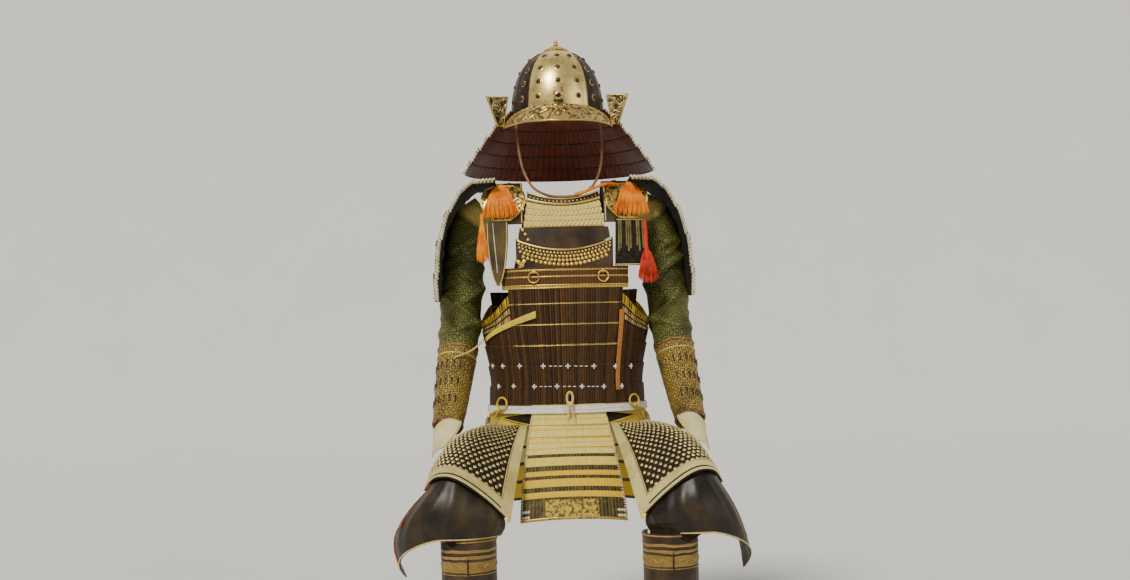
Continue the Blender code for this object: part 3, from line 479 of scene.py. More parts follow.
@dataclass(frozen=True)
class Brocade:
    """Figured silk: a repeat of rounded blossoms and leaves in gold thread over a darker ground."""

    name: str
    ground: Colour
    shade: Colour
    thread: Colour
    repeat: float
    pale_top: float = 0.0

    def make(self) -> bpy.types.Material:
        """Builds the material."""
        paint = Paint(self.name, 0.5, 0.25, Specular_IOR_Level=0.35)
        x, y = paint.cut()
        flat = paint.node("CombineXYZ", x, y, 0.0).outputs[0]
        warp = paint.node("TexNoise", flat, None, 26.0, 2.0).outputs[1]
        bent = paint.node("VectorMath", flat, paint.node("VectorMath", warp, (0.018, 0.018, 0.0),
                                                         operation="MULTIPLY").outputs[0], operation="ADD")
        split = paint.node("SeparateXYZ", bent.outputs[0])
        wave_x = paint.wave(split.outputs[0], self.repeat)
        wave_y = paint.wave(split.outputs[1], self.repeat)
        bloom = paint.sum("MULTIPLY", wave_x, wave_y)
        other = paint.sum("MULTIPLY", paint.sum("SUBTRACT", 1.0, wave_x), paint.sum("SUBTRACT", 1.0, wave_y))
        petals = paint.wave(paint.sum("ADD", bloom, other), 0.46)
        broken = paint.sum("MULTIPLY_ADD", paint.noise(bent.outputs[0], 150, 3), 1.1, petals)
        figure = paint.node("MapRange", broken, 0.86, 1.16, 0.0, 1.0).outputs[0]
        thread = paint.sum("MULTIPLY", paint.wave(paint.sum("ADD", x, y), 0.0011),
                           paint.wave(paint.sum("SUBTRACT", x, y), 0.0013))
        cloud = paint.noise(paint.place(), 17, 5)
        ground = paint.ramp(cloud, [(0.36, self.shade), (0.66, self.ground)])
        worn = paint.sum("MULTIPLY", figure, paint.node("MapRange", cloud, 0.30, 0.52, 0.35, 1.0).outputs[0])
        relief = paint.sum("MULTIPLY_ADD", figure, 0.8, thread)
        colour = paint.mix(worn, ground, self.thread)
        if self.pale_top:
            pale = paint.node("MapRange", paint.share()[1], self.pale_top * 0.8, self.pale_top, 1.0,
                              0.0).outputs[0]
            colour = paint.mix(pale, colour, paint.mix(figure, (0.66, 0.47, 0.08), (0.84, 0.68, 0.22)))
        return paint.done(colour, relief, 0.28)


@dataclass(frozen=True)
class Silk:
    """Twisted silk thread, paler where it catches the light."""

    name: str
    light: Colour
    deep: Colour
    twist: float = 3.0

    def make(self) -> bpy.types.Material:
        """Builds the material."""
        paint = Paint(self.name, 0.5, Specular_IOR_Level=0.3)
        place = paint.place((1.0, 1.0, 0.25))
        streaks = paint.noise(place, 380, 3)
        broad = paint.noise(paint.place(), 30, 3)
        colour = paint.ramp(paint.sum("MULTIPLY_ADD", broad, 0.6, paint.sum("MULTIPLY", streaks, 0.5)),
                            [(0.40, self.deep), (0.64, self.light)])
        split = paint.node("SeparateXYZ", paint.place())
        lean = paint.sum("ADD", split.outputs[0], split.outputs[2])
        return paint.done(colour, paint.wave(paint.sum("ADD", lean, split.outputs[1]), self.twist * MM), 0.35)


@dataclass(frozen=True)
class Leather:
    """Lacquered leather or plain cloth with a fine grain, scuffed lighter on its high places."""

    name: str
    colour: Colour
    scuffed: Colour
    roughness: float
    grain: float = 260.0
    bands: tuple[tuple[float, Colour], ...] = ()

    def make(self) -> bpy.types.Material:
        """Builds the material."""
        paint = Paint(self.name, self.roughness, Specular_IOR_Level=0.3, Coat_Weight=0.08, Coat_Roughness=0.3)
        place = paint.place()
        grain = paint.noise(place, self.grain, 5)
        cloud = paint.noise(place, 21, 5)
        colour = paint.ramp(cloud, [(0.38, self.colour), (0.74, self.scuffed)])
        if self.bands:
            _, v = paint.share()
            wobble = paint.sum("MULTIPLY_ADD", paint.noise(place, 34, 2), 0.02,
                               paint.sum("SUBTRACT", v, 0.01))
            lines = paint.ramp(wobble, list(self.bands), steps=True)
            mask = paint.node("RGBToBW", lines).outputs[0]
            colour = paint.mix(paint.sum("GREATER_THAN", mask, 0.004), colour,
                               paint.mix(paint.sum("MULTIPLY", cloud, 0.5), lines, self.colour))
        return paint.done(colour, grain, 0.35, paint.sum("MULTIPLY_ADD", cloud, 0.3, self.roughness - 0.1))


@dataclass(frozen=True)
class Cloth:
    """A plain weave of two close tones."""

    name: str
    light: Colour
    shade: Colour
    thread: float = 1.4

    def make(self) -> bpy.types.Material:
        """Builds the material."""
        paint = Paint(self.name, 0.85, Specular_IOR_Level=0.06)
        x, y = paint.cut()
        weave = paint.sum("ADD", paint.wave(x, self.thread * MM), paint.wave(y, self.thread * MM))
        slub = paint.noise(paint.place((1.0, 1.0, 4.0)), 70, 4)
        colour = paint.ramp(paint.sum("MULTIPLY_ADD", weave, 0.12, paint.sum("MULTIPLY", slub, 0.8)),
                            [(0.34, self.shade), (0.66, self.light)])
        return paint.done(colour, weave, 0.2)


GOLD = (0.80, 0.56, 0.17)
GOLD_DEEP = (0.42, 0.26, 0.06)
CREAM = (0.76, 0.63, 0.19)
YELLOW = (0.76, 0.48, 0.018)
PALE_GOLD = (0.80, 0.59, 0.10)
BLACK = (0.010, 0.009, 0.008)
BROWN = (0.112, 0.050, 0.012)

TASSET_BANDS = (
    (0.0, CREAM), (0.055, GOLD), (0.066, CREAM), (0.125, YELLOW), (0.140, CREAM), (0.183, GOLD_DEEP),
    (0.194, CREAM),
    (0.222, YELLOW), (0.236, CREAM), (0.296, GOLD_DEEP), (0.308, YELLOW), (0.322, CREAM), (0.345, YELLOW),
    (0.358, CREAM), (0.392, YELLOW), (0.410, CREAM), (0.452, BLACK), (0.486, PALE_GOLD), (0.556, BLACK),
    (0.600, YELLOW), (0.640, BLACK), (0.674, YELLOW), (0.735, BLACK), (0.775, YELLOW), (0.822, BLACK),
    (0.985, GOLD_DEEP),
)
PLAIN_TASSET_BANDS = (
    (0.0, CREAM), (0.27, YELLOW), (0.30, CREAM), (0.45, BLACK), (0.48, CREAM), (0.62, BLACK), (0.65, YELLOW),
    (0.80, BLACK), (0.83, YELLOW), (0.97, BLACK),
)
LAME_LINES = (0.118, 0.299, 0.480, 0.661, 0.843)


def lame_bands(edges: Sequence[float], line: Colour, ground: Colour,
               width: float) -> tuple[tuple[float, Colour], ...]:
    """Bands of the ground colour with a thin line at each upper edge."""
    bands: list[tuple[float, Colour]] = [(0.0, ground)]
    for edge in edges:
        bands += [(edge, line), (edge + width, ground)]
    return tuple(bands)


class Finish(Enum):
    """Every finish of the armour, by what it is on."""

    GILT = Metal("gilt_plain", (0.84, 0.58, 0.14), (0.50, 0.32, 0.09), 0.34)
    SCROLLED_GILT = Metal("gilt_scrolled", (0.88, 0.66, 0.24), (0.56, 0.38, 0.12), 0.36, scroll=62.0)
    DARK_GILT = Metal("gilt_darkened", (0.52, 0.42, 0.20), (0.20, 0.14, 0.05), 0.42, scroll=74.0)
    LEAF_GILT = Metal("gilt_leaf", (0.86, 0.62, 0.18), (0.50, 0.34, 0.10), 0.33, scroll=66.0)
    STUD_IRON = Metal("stud_iron", (0.10, 0.08, 0.06), (0.03, 0.024, 0.02), 0.42)
    HELMET = HelmetIron("helmet_iron", (0.022, 0.018, 0.014), (0.075, 0.046, 0.026), (0.87, 0.66, 0.23),
                        (0.52, 0.38, 0.14), 38.5)
    RED_LACQUER = Lacquer("red_brown_lacquer", (0.120, 0.022, 0.010), (0.25, 0.075, 0.025), 0.40)
    BLACK_LACQUER = Lacquer("black_lacquer_scales", (0.009, 0.008, 0.008), (0.032, 0.026, 0.014), 0.42)
    CUIRASS = Lacing("brown_silk_lacing", lame_bands(LAME_LINES[:3], (0.62, 0.44, 0.16), BROWN, 0.012),
                     (0.014, 0.007, 0.003), 5.6, 0.70)
    SIDES = Lacing("side_silk_lacing",
                   ((0.0, YELLOW), (0.100, BLACK), (0.118, GOLD), (0.175, BLACK), (0.192, GOLD),
                                        (0.240, BLACK), (0.262, BROWN)), (0.014, 0.007, 0.003), 5.6, 0.55)
    CHEST_BAND = Lacing("chest_band_lacing", ((0.0, BROWN), (0.10, GOLD), (0.17, BROWN), (0.40, GOLD),
                                              (0.48, BROWN), (0.80, PALE_GOLD)), (0.05, 0.025, 0.01), 7.0,
                        0.2)
    BREAST = Lacing("breast_rope_lacing", ((0.0, BLACK), (0.17, PALE_GOLD), (0.24, BLACK), (0.27, CREAM),
                                           (0.435, GOLD_DEEP), (0.458, CREAM), (0.610, GOLD_DEEP),
                                           (0.634, CREAM),
                                           (0.786, GOLD_DEEP), (0.810, CREAM), (0.96, GOLD_DEEP)),
                    (0.30, 0.19, 0.05), 6.0, 0.10, 0.0)
    TASSET = Lacing("tasset_silk_lacing", TASSET_BANDS, (0.33, 0.24, 0.05), 6.5, 0.12, 0.22,
                    patch=(0.24, 0.73, 0.85, (0.50, 0.34, 0.055), (0.10, 0.065, 0.016)))
    PLAIN_TASSET = Lacing("side_tasset_lacing", PLAIN_TASSET_BANDS, (0.33, 0.24, 0.05), 6.5, 0.12, 0.22)
    ORANGE_LACING = Lacing("orange_hinge_lacing", ((0.0, (0.62, 0.25, 0.05)),), (0.20, 0.06, 0.01), 4.0, 0.2)
    GREEN_BROCADE = Brocade("green_gold_brocade", (0.046, 0.056, 0.012), (0.012, 0.018, 0.005),
                            (0.165, 0.155, 0.032), 0.026, 0.16)
    GOLD_BROCADE = Brocade("brown_gold_brocade", (0.058, 0.036, 0.008), (0.016, 0.010, 0.003),
                           (0.40, 0.27, 0.050), 0.024)
    BORDER_BROCADE = Brocade("pale_border_brocade", (0.76, 0.63, 0.22), (0.50, 0.38, 0.09),
                             (0.86, 0.75, 0.34), 0.014)
    ORANGE_SILK = Silk("orange_tassel_silk", (0.94, 0.31, 0.004), (0.60, 0.095, 0.002))
    RED_SILK = Silk("red_tassel_silk", (0.66, 0.050, 0.015), (0.26, 0.012, 0.006))
    GOLD_SILK = Silk("gold_cord_silk", (0.84, 0.66, 0.22), (0.46, 0.31, 0.07), 2.2)
    BROWN_SILK = Silk("brown_cord_silk", (0.30, 0.15, 0.07), (0.09, 0.04, 0.02), 2.6)
    PALE_SILK = Silk("pale_braid_silk", (0.84, 0.78, 0.54), (0.46, 0.39, 0.20), 2.0)
    KNOT_SILK = Silk("white_knot_silk", (0.94, 0.93, 0.88), (0.66, 0.65, 0.60), 2.0)
    GOLD_BEADS = Metal("gold_beads", (0.90, 0.66, 0.16), (0.62, 0.44, 0.14), 0.3)
    BROWN_LEATHER = Leather("brown_lacquered_leather", (0.020, 0.010, 0.004), (0.080, 0.042, 0.015), 0.46)
    KNEE_LEATHER = Leather("knee_leather", (0.010, 0.007, 0.004), (0.052, 0.032, 0.010), 0.40, 180.0)
    SHIN_LEATHER = Leather("shin_leather", (0.022, 0.012, 0.005), (0.085, 0.050, 0.018), 0.46, 200.0,
                           ((0.0, (0, 0, 0)), (0.055, GOLD_DEEP), (0.072, (0, 0, 0)), (0.092, GOLD_DEEP),
                            (0.108, (0, 0, 0)), (0.125, (0.30, 0.19, 0.035)), (0.185, (0, 0, 0))))
    PENDANT_BROWN = Leather("narrow_pendant_leather", (0.034, 0.022, 0.006), (0.12, 0.080, 0.020), 0.52)
    LINING = Cloth("dark_lining_cloth", (0.030, 0.022, 0.014), (0.010, 0.008, 0.006), 1.8)
    BLACK_CLOTH = Cloth("black_apron_cloth", (0.040, 0.034, 0.022), (0.010, 0.009, 0.008))
    WHITE_CLOTH = Cloth("white_sash_cloth", (0.86, 0.84, 0.80), (0.62, 0.60, 0.56))
    HAND_CLOTH = Brocade("hand_guard_cloth", (0.80, 0.68, 0.28), (0.56, 0.43, 0.12), (0.90, 0.82, 0.50),
                         0.012)
    YELLOW_CLOTH = Brocade("waistband_cloth", (0.74, 0.50, 0.035), (0.44, 0.27, 0.02), (0.84, 0.66, 0.12),
                           0.018)
    PALE_PLATES = Metal("pale_small_plates", (0.90, 0.78, 0.36), (0.60, 0.46, 0.15), 0.42)
    OLIVE_STRIPE_SILK = Silk("olive_cord_silk", (0.26, 0.20, 0.055), (0.10, 0.075, 0.02), 2.4)
    RED_CORD = Silk("red_binding_silk", (0.52, 0.050, 0.016), (0.20, 0.016, 0.008), 2.4)
    DULL_GOLD_SILK = Silk("dull_gold_cord_silk", (0.44, 0.27, 0.06), (0.18, 0.10, 0.025), 2.4)
    YELLOW_SILK = Silk("yellow_tie_silk", (0.80, 0.60, 0.05), (0.50, 0.33, 0.02), 2.2)


class Wardrobe:
    """The finishes already made, one material for each."""

    made: dict[str, bpy.types.Material] = {}

    @classmethod
    def get(cls, finish: Finish) -> bpy.types.Material:
        """The finish's material, built the first time that it is asked for."""
        if finish.name not in cls.made:
            cls.made[finish.name] = finish.value.make()
        return cls.made[finish.name]


# ---------------------------------------------------------------- making pieces


def deselect() -> None:
    """Leaves nothing selected."""
    if bpy.context.object and bpy.context.object.mode != "OBJECT":
        bpy.ops.object.mode_set(mode="OBJECT")
    bpy.ops.object.select_all(action="DESELECT")


def dress(piece: bpy.types.Object, name: str, finish: Finish,
          nodes: Iterable[str] = ()) -> bpy.types.Object:
    """Names a finished piece, gives it its finish and puts it on the body.

    Args:
        piece: The piece's object.
        name: Its name.
        finish: Its finish.
        nodes: CAD nodes that it replaces.

    Returns:
        The piece.
    """
    piece.name = name
    piece.data.name = name
    piece.data.materials.clear()
    piece.data.materials.append(Wardrobe.get(finish))
    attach(piece, "root")
    nodes = list(nodes)
    if nodes:
        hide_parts(*nodes)
    LOG.info("%s: %d faces", name, len(piece.data.polygons) if piece.type == "MESH" else 0)
    return piece


def keep(node: str, finish: Finish) -> None:
    """Leaves a CAD node in place with a better finish."""
    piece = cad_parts[node]
    for k in range(len(piece.material_slots)):
        piece.material_slots[k].material = Wardrobe.get(finish)


def smooth(piece: bpy.types.Object, angle: float = 38.0) -> bpy.types.Object:
    """Shades a piece smooth up to an angle in degrees."""
    deselect()
    piece.select_set(True)
    bpy.context.view_layer.objects.active = piece
    bpy.ops.object.shade_smooth_by_angle(angle=math.radians(angle))
    return piece


@dataclass
class Panel:
    """A wall over a surface of two shares, with relief standing out of it.

    Attributes:
        surface: The base face on the right side.
        columns: How many faces across.
        rows: How many faces down, or the places down it.
        wall: Thickness in mm.
        relief: Height over the base face by the shares, in metres.
        closed: Whether its last column meets its first.
        side: The side it is on, where it is one of a pair.
        lift: How far its outer face stands over the base face, in mm.
    """

    surface: Surface
    columns: int
    rows: Union[int, Sequence[float]]
    wall: float
    relief: Optional[Relief] = None
    closed: bool = False
    side: Side = Side.RIGHT
    lift: float = 0.0
    down: list[float] = field(init=False)

    def __post_init__(self) -> None:
        """Turns a number of rows into even places."""
        even = isinstance(self.rows, int)
        self.down = [k / self.rows for k in range(self.rows + 1)] if even else list(self.rows)

    def base(self) -> np.ndarray:
        """The base face's points, by row and column."""
        across = [k / self.columns for k in range(self.columns + 1)]
        if self.side is Side.RIGHT:
            return np.array([[self.surface(u, v) for u in across] for v in self.down])
        return np.array([[self.surface(1 - u, v) for u in across] for v in self.down]) * (-1, 1, 1)

    def outward(self, points: np.ndarray) -> np.ndarray:
        """The face's directions outwards at its points."""
        across, down = np.gradient(points, axis=1), np.gradient(points, axis=0)
        if self.closed:
            seam = points[:, 1] - points[:, -2]
            across[:, 0] = across[:, -1] = seam / 2
        out = np.cross(down, across)
        return out / np.maximum(np.linalg.norm(out, axis=2, keepdims=True), 1e-12)

    def cut_size(self) -> tuple[float, float]:
        """Mean width and length of the face, laid flat, in metres."""
        points = self.base()
        across = np.linalg.norm(np.diff(points, axis=1), axis=2).sum(axis=1).mean()
        down = np.linalg.norm(np.diff(points, axis=0), axis=2).sum(axis=0).mean()
        return float(across), float(down)

    def build(self, name: str, finish: Finish, slot: str, nodes: Iterable[str] = ()) -> bpy.types.Object:
        """Shapes a grid into the wall.

        Args:
            name: The piece's name.
            finish: Its finish.
            slot: Its material slot in the record; not used.
            nodes: CAD nodes that it replaces.

        Returns:
            The finished piece.
        """
        points = self.base()
        out = self.outward(points)
        shares = np.linspace(0, 1, self.columns + 1)
        u, v = np.meshgrid(shares if self.side is Side.RIGHT else 1 - shares, np.array(self.down))
        height = np.full(u.shape, self.lift * MM)
        if self.relief:
            height = height + self.relief(u, v)
        width, length = self.cut_size()
        deselect()
        rows = len(self.down) - 1
        bpy.ops.mesh.primitive_grid_add(x_subdivisions=self.columns, y_subdivisions=rows, size=1)
        piece = bpy.context.active_object
        mesh = piece.data
        flat = np.empty(len(mesh.vertices) * 3)
        mesh.vertices.foreach_get("co", flat)
        flat = flat.reshape(-1, 3)
        i = np.rint((flat[:, 0] + 0.5) * self.columns).astype(int)
        j = np.rint((0.5 - flat[:, 1]) * rows).astype(int)
        mesh.vertices.foreach_set("co", (points + out * height[..., None])[j, i].ravel())
        corner = np.empty(len(mesh.loops), dtype=np.int32)
        mesh.loops.foreach_get("vertex_index", corner)
        share = np.stack([u[j, i], v[j, i]], axis=1)[corner]
        mesh.uv_layers[0].name = "share"
        mesh.uv_layers.new(name="cut")
        mesh.uv_layers["share"].data.foreach_set("uv", share.ravel())
        mesh.uv_layers["cut"].data.foreach_set("uv", (share * (width, length)).ravel())
        if self.closed:
            bpy.ops.object.mode_set(mode="EDIT")
            bpy.ops.mesh.select_all(action="SELECT")
            bpy.ops.mesh.remove_doubles(threshold=1e-6)
            bpy.ops.object.mode_set(mode="OBJECT")
        thicken = piece.modifiers.new("wall", "SOLIDIFY")
        thicken.thickness = self.wall * MM
        thicken.offset = -1.0
        bpy.ops.object.modifier_apply(modifier="wall")
        return dress(smooth(piece), name, finish, nodes)

    def spot(self, u: float, v: float, lift: float = 0.0, turn: float = 0.0, scale: float = 1.0) -> Matrix:
        """A placing on the face: X across it, Y up it and Z out of it.

        Args:
            u: Share across, on the right side's panel.
            v: Share down.
            lift: Distance over the relief's base face, in mm.
            turn: Turn about the way out, in degrees.
            scale: Size of what is placed.

        Returns:
            The placing.
        """
        step = 1e-3
        across = self.surface(min(u + step, 1.0), v) - self.surface(max(u - step, 0.0), v)
        down = self.surface(u, min(v + step, 1.0)) - self.surface(u, max(v - step, 0.0))
        out = down.cross(across).normalized()
        across = (across - out * across.dot(out)).normalized()
        height = lift * MM + self.lift * MM
        if self.relief:
            height += float(self.relief(np.array([u]), np.array([v]))[0])
        at = self.surface(u, v) + out * height
        if self.side is Side.LEFT:
            at.x, out.x, across.x = -at.x, -out.x, -across.x
            across = -across
        up = out.cross(across)
        frame_axes = Matrix((across, up, out)).transposed()
        return Matrix.Translation(at) @ (frame_axes @ Matrix.Rotation(math.radians(turn), 3, "Z")).to_4x4() \
            @ Matrix.Scale(scale, 4)


def copies(name: str, model: bpy.types.Object, places: Sequence[Matrix], finish: Finish,
           nodes: Iterable[str] = ()) -> bpy.types.Object:
    """One piece of many copies of a small model, which is then removed.

    Args:
        name: The piece's name.
        model: What is repeated, made at the origin.
        places: Where each copy goes.
        finish: The piece's finish.
        nodes: CAD nodes that it replaces.

    Returns:
        The finished piece.
    """
    mesh = model.data
    points = np.array([(*v.co, 1.0) for v in mesh.vertices])
    faces = [tuple(p.vertices) for p in mesh.polygons]
    all_points, all_faces = [], []
    for k, place in enumerate(places):
        all_points.append((points @ np.array(place).T)[:, :3])
        all_faces += [tuple(c + k * len(points) for c in f) for f in faces]
    joined = bpy.data.meshes.new(name)
    joined.from_pydata(np.concatenate(all_points).tolist(), [], all_faces)
    joined.update()
    bpy.data.objects.remove(model)
    piece = bpy.data.objects.new(name, joined)
    bpy.context.scene.collection.objects.link(piece)
    return dress(smooth(piece, 50), name, finish, nodes)


def dome(radius: float, height: float, sides: int = 10) -> bpy.types.Object:
    """A rounded stud head that stands on the XY plane, sizes in mm."""
    deselect()
    bpy.ops.mesh.primitive_uv_sphere_add(segments=sides, ring_count=6, radius=radius * MM)
    bpy.ops.object.mode_set(mode="EDIT")
    bpy.ops.mesh.select_all(action="SELECT")
    bpy.ops.mesh.bisect(plane_co=(0, 0, 0), plane_no=(0, 0, 1), use_fill=True, clear_inner=True)
    bpy.ops.mesh.select_all(action="SELECT")
    bpy.ops.transform.resize(value=(1, 1, height / radius), center_override=(0, 0, 0))
    bpy.ops.object.mode_set(mode="OBJECT")
    return bpy.context.active_object


def bead(length: float, width: float, height: float) -> bpy.types.Object:
    """A rounded bead or stitch that lies on the XY plane along X, sizes in mm."""
    deselect()
    bpy.ops.mesh.primitive_cube_add(size=1)
    piece = bpy.context.active_object
    bpy.ops.object.mode_set(mode="EDIT")
    bpy.ops.mesh.select_all(action="SELECT")
    bpy.ops.transform.resize(value=(length * MM, width * MM, height * MM), center_override=(0, 0, 0))
    bpy.ops.mesh.bevel(offset=0.30 * min(width, height) * MM, segments=1, affect="EDGES")
    bpy.ops.mesh.select_all(action="SELECT")
    bpy.ops.transform.translate(value=(0, 0, height * 0.42 * MM))
    bpy.ops.object.mode_set(mode="OBJECT")
    return piece


def crossed_knot(size: float, thick: float) -> bpy.types.Object:
    """Two short cords crossed over each other, sizes in mm."""
    first = bead(size, thick, thick)
    for turn in (45, 135):
        if turn == 135:
            bpy.ops.object.mode_set(mode="EDIT")
            bpy.ops.mesh.select_all(action="SELECT")
            bpy.ops.mesh.duplicate()
            bpy.ops.transform.rotate(value=math.pi / 2, orient_axis="Z", center_override=(0, 0, 0))
            bpy.ops.transform.translate(value=(0, 0, thick * 0.35 * MM))
            bpy.ops.object.mode_set(mode="OBJECT")
    return first


def tube(name: str, points: Sequence[Vector], radius: float, finish: Finish,
         closed: bool = False, nodes: Iterable[str] = ()) -> bpy.types.Object:
    """A rounded rim or piping along points.

    Args:
        name: The piece's name.
        points: The line that it follows.
        radius: Its radius in mm.
        finish: Its finish.
        closed: Whether it is a ring.
        nodes: CAD nodes that it replaces.

    Returns:
        The finished piece.
    """
    curve = bpy.data.curves.new(name, "CURVE")
    curve.dimensions = "3D"
    curve.bevel_depth = radius * MM
    curve.bevel_resolution = 2
    curve.use_fill_caps = not closed
    spline = curve.splines.new("POLY")
    spline.points.add(len(points) - 1)
    for target, point in zip(spline.points, points):
        target.co = (*point, 1.0)
    spline.use_cyclic_u = closed
    piece = bpy.data.objects.new(name, curve)
    bpy.context.scene.collection.objects.link(piece)
    deselect()
    piece.select_set(True)
    bpy.context.view_layer.objects.active = piece
    bpy.ops.object.convert(target="MESH")
    return dress(smooth(bpy.context.active_object, 60), name, finish, nodes)


def edge_line(panel: Panel, path: Callable[[float], tuple[float, float]], count: int,
              lift: float) -> list[Vector]:
    """Points over a panel along a path of shares."""
    return [panel.spot(*path(k / (count - 1)), lift).to_translation() for k in range(count)]


def edge_places(panel: Panel, path: Callable[[float], tuple[float, float]], pitch: float, lift: float,
                turn: float = 0.0, scale: float = 1.0) -> list[Matrix]:
    """Placings every pitch mm along a path over a panel.

    Args:
        panel: What they lie on.
        path: The path's shares by its own share.
        pitch: Distance between them, in mm.
        lift: Distance over the panel, in mm.
        turn: Turn of each about the way out, in degrees.
        scale: Size of each.

    Returns:
        The placings.
    """
    line = np.array([panel.spot(*path(k / 80)).to_translation() for k in range(81)])
    way = np.concatenate([[0.0], np.cumsum(np.linalg.norm(np.diff(line, axis=0), axis=1))])
    count = max(2, int(round(way[-1] / (pitch * MM))) + 1)
    shares = np.interp(np.linspace(0, way[-1], count), way, np.linspace(0, 1, 81))
    return [panel.spot(*path(float(s)), lift, turn, scale) for s in shares]


# ---------------------------------------------------------------- the helmet


@dataclass
class Helmet:
    """The studded bowl with its crown, visor, crest holder, turned-back plates and neck guard."""

    middle: float = -5.0
    rim: float = 658.0
    top: float = 800.0
    stud_columns: int = 14
    stud_rows: tuple[float, ...] = (0.315, 0.545, 0.73, 0.90)
    plate_half: float = 38.5
    neck_lames: int = 5

    def plan(self, angle: float, half_width: float, front: float, back: float) -> tuple[float, float]:
        """A point of the helmet's plan in mm; angle is in degrees from the front towards +X."""
        turn = math.radians(angle)
        depth = front if math.cos(turn) > 0 else back
        return self.middle + half_width * math.sin(turn), -depth * math.cos(turn) - 8

    def bowl_point(self, u: float, v: float) -> Vector:
        """The bowl's outer face, v 0 at the crown's ring and 1 at the rim."""
        fall = math.radians(lerp(8, 90, v))
        share = math.sin(fall) ** 0.86
        height = self.rim + (self.top - self.rim) * max(math.cos(fall), 0.0) ** 0.92 if v < 1 else self.rim
        x, y = self.plan(360 * u, 104 * share, 118 * share, 108 * share)
        return Vector((x, y, height)) * MM

    def bowl_relief(self, u: np.ndarray, v: np.ndarray) -> np.ndarray:
        """Ribs between the stud columns, but none inside the front plates, and a raised plate edge."""
        angle = (u * 360 + 180) % 360 - 180
        pitch = 360 / self.stud_columns
        turns = np.abs(angle) / pitch - 0.5
        rib = np.exp(-(((turns - np.round(turns)) * pitch / 1.5) ** 2))
        rib = np.where(np.abs(angle) < self.plate_half - 3, 0, rib)
        plate = 1 / (1 + np.exp((np.abs(angle) - self.plate_half) * 1.8))
        edge = np.exp(-(((np.abs(angle) - self.plate_half + 1.5) / 1.6) ** 2))
        lip = np.exp(-(((v - 0.985) / 0.02) ** 2))
        return (1.3 * rib * np.clip(v * 6, 0, 1) + 0.5 * plate + 0.9 * edge + 0.8 * lip) * MM

    def visor_point(self, u: float, v: float) -> Vector:
        """The visor's upper face: a crescent whose ends spread and sink beside the bowl's rim."""
        share = abs(2 * u - 1)
        angle = 82 * (2 * u - 1)
        width = max(math.sqrt(1 - share * share), 0.07)
        spread = 15 * share**2
        x0, y0 = self.plan(angle, 106.3 + spread, 120.2, 118)
        x1, y1 = self.plan(angle, 124 + spread, 160, 118)
        root = self.rim + 4 - 31 * share**3
        return Vector((lerp(x0, x1, v * width), lerp(y0, y1, v * width), root - 42 * v * width)) * MM

    def neck_point(self, u: float, v: float) -> Vector:
        """The neck guard's outer face, from the bowl's rim to its wide lower edge."""
        angle = lerp(86, 274, u)
        flare = v**0.8
        x, y = self.plan(angle, lerp(105.8, 218, flare), lerp(110, 168, flare), lerp(109.9, 204, flare))
        return Vector((x, y, self.rim + 5 - 139.5 * v)) * MM

    def turnback_point(self, u: float, v: float) -> Vector:
        """The turned-back plate's front face: wide at the top and narrow at its lower end."""
        inner, outer = lerp(111, 123, v), lerp(162, 137, v)
        return Vector((lerp(inner, outer, u), -19.5 - 9 * u * u, lerp(698, 628, v))) * MM

    def crown_point(self, u: float, v: float) -> Vector:
        """The crown ring's face, from its ball down over its petals to the bowl."""
        rows = [(0.0, 0.05, 28.3), (0.06, 3.2, 27.2), (0.12, 4.7, 24.4), (0.18, 3.7, 21.6), (0.24, 2.4, 20.4),
                (0.32, 5.6, 19.4), (0.40, 6.2, 17.4), (0.48, 4.8, 15.6), (0.58, 10.5, 13.4),
                (0.72, 18.5, 9.4), (0.88, 27.0, 4.6), (1.0, 29.6, 1.6)]
        radius, height = along(rows, v)
        petals = 1 + 0.035 * math.cos(math.radians(360 * 12 * u)) * min(1.0, max(0.0, (v - 0.45) / 0.3))
        turn = math.tau * u
        return Vector((self.middle + radius * petals * math.sin(turn), -8 - radius * petals * math.cos(turn),
                       self.top - 1.8 + height)) * MM

    def build_bowl(self) -> None:
        """The bowl with its studs, and the crown ring on it."""
        bowl = Panel(self.bowl_point, 168, 36, 2.5, self.bowl_relief, closed=True)
        bowl.build("bowl_shell", Finish.HELMET, "dark_iron", ["helmet_bowl"])
        dark = [bowl.spot(k / self.stud_columns, v, 0.0) for k in range(self.stud_columns)
                for v in self.stud_rows]
        copies("bowl_studs", dome(5.8, 3.8, 14), dark, Finish.STUD_IRON)
        seats = [bowl.spot(k / self.stud_columns, v, -0.2) for k in range(self.stud_columns)
                 for v in self.stud_rows]
        copies("bowl_stud_seats", dome(7.4, 1.0, 16), seats, Finish.GILT)
        crown = Panel(self.crown_point, 72, 26, 1.2, closed=True)
        crown.build("crown_petals", Finish.GILT, "gilt", ["helmet_crown_ring"])

    def build_visor(self) -> None:
        """The visor with its rolled rims, and the forked crest holder over it."""

        def scrolls(u: np.ndarray, v: np.ndarray) -> np.ndarray:
            """Low leafy bosses between the rims."""
            s = 2 * u - 1
            wave = np.sin(34 * s + 2.4 * np.sin(3.1 * v * 3)) * np.cos(9 * s + 7 * v)
            return 0.9 * MM * np.clip(wave, 0, 1) * np.sin(np.pi * v) * (1 - s**4)

        visor = Panel(self.visor_point, 120, 14, 2.2, scrolls)
        visor.build("visor_plate", Finish.SCROLLED_GILT, "gilt", ["helmet_visor"])
        rims = [edge_line(visor, lambda s, v=v: (lerp(0.01, 0.99, s), v), 70, 0.2) for v in (0.985, 0.16)]
        tube("visor_rim", rims[0], 1.9, Finish.GILT)
        tube("visor_root_line", rims[1], 1.1, Finish.GILT)
        keep("helmet_crest_holder", Finish.DARK_GILT)

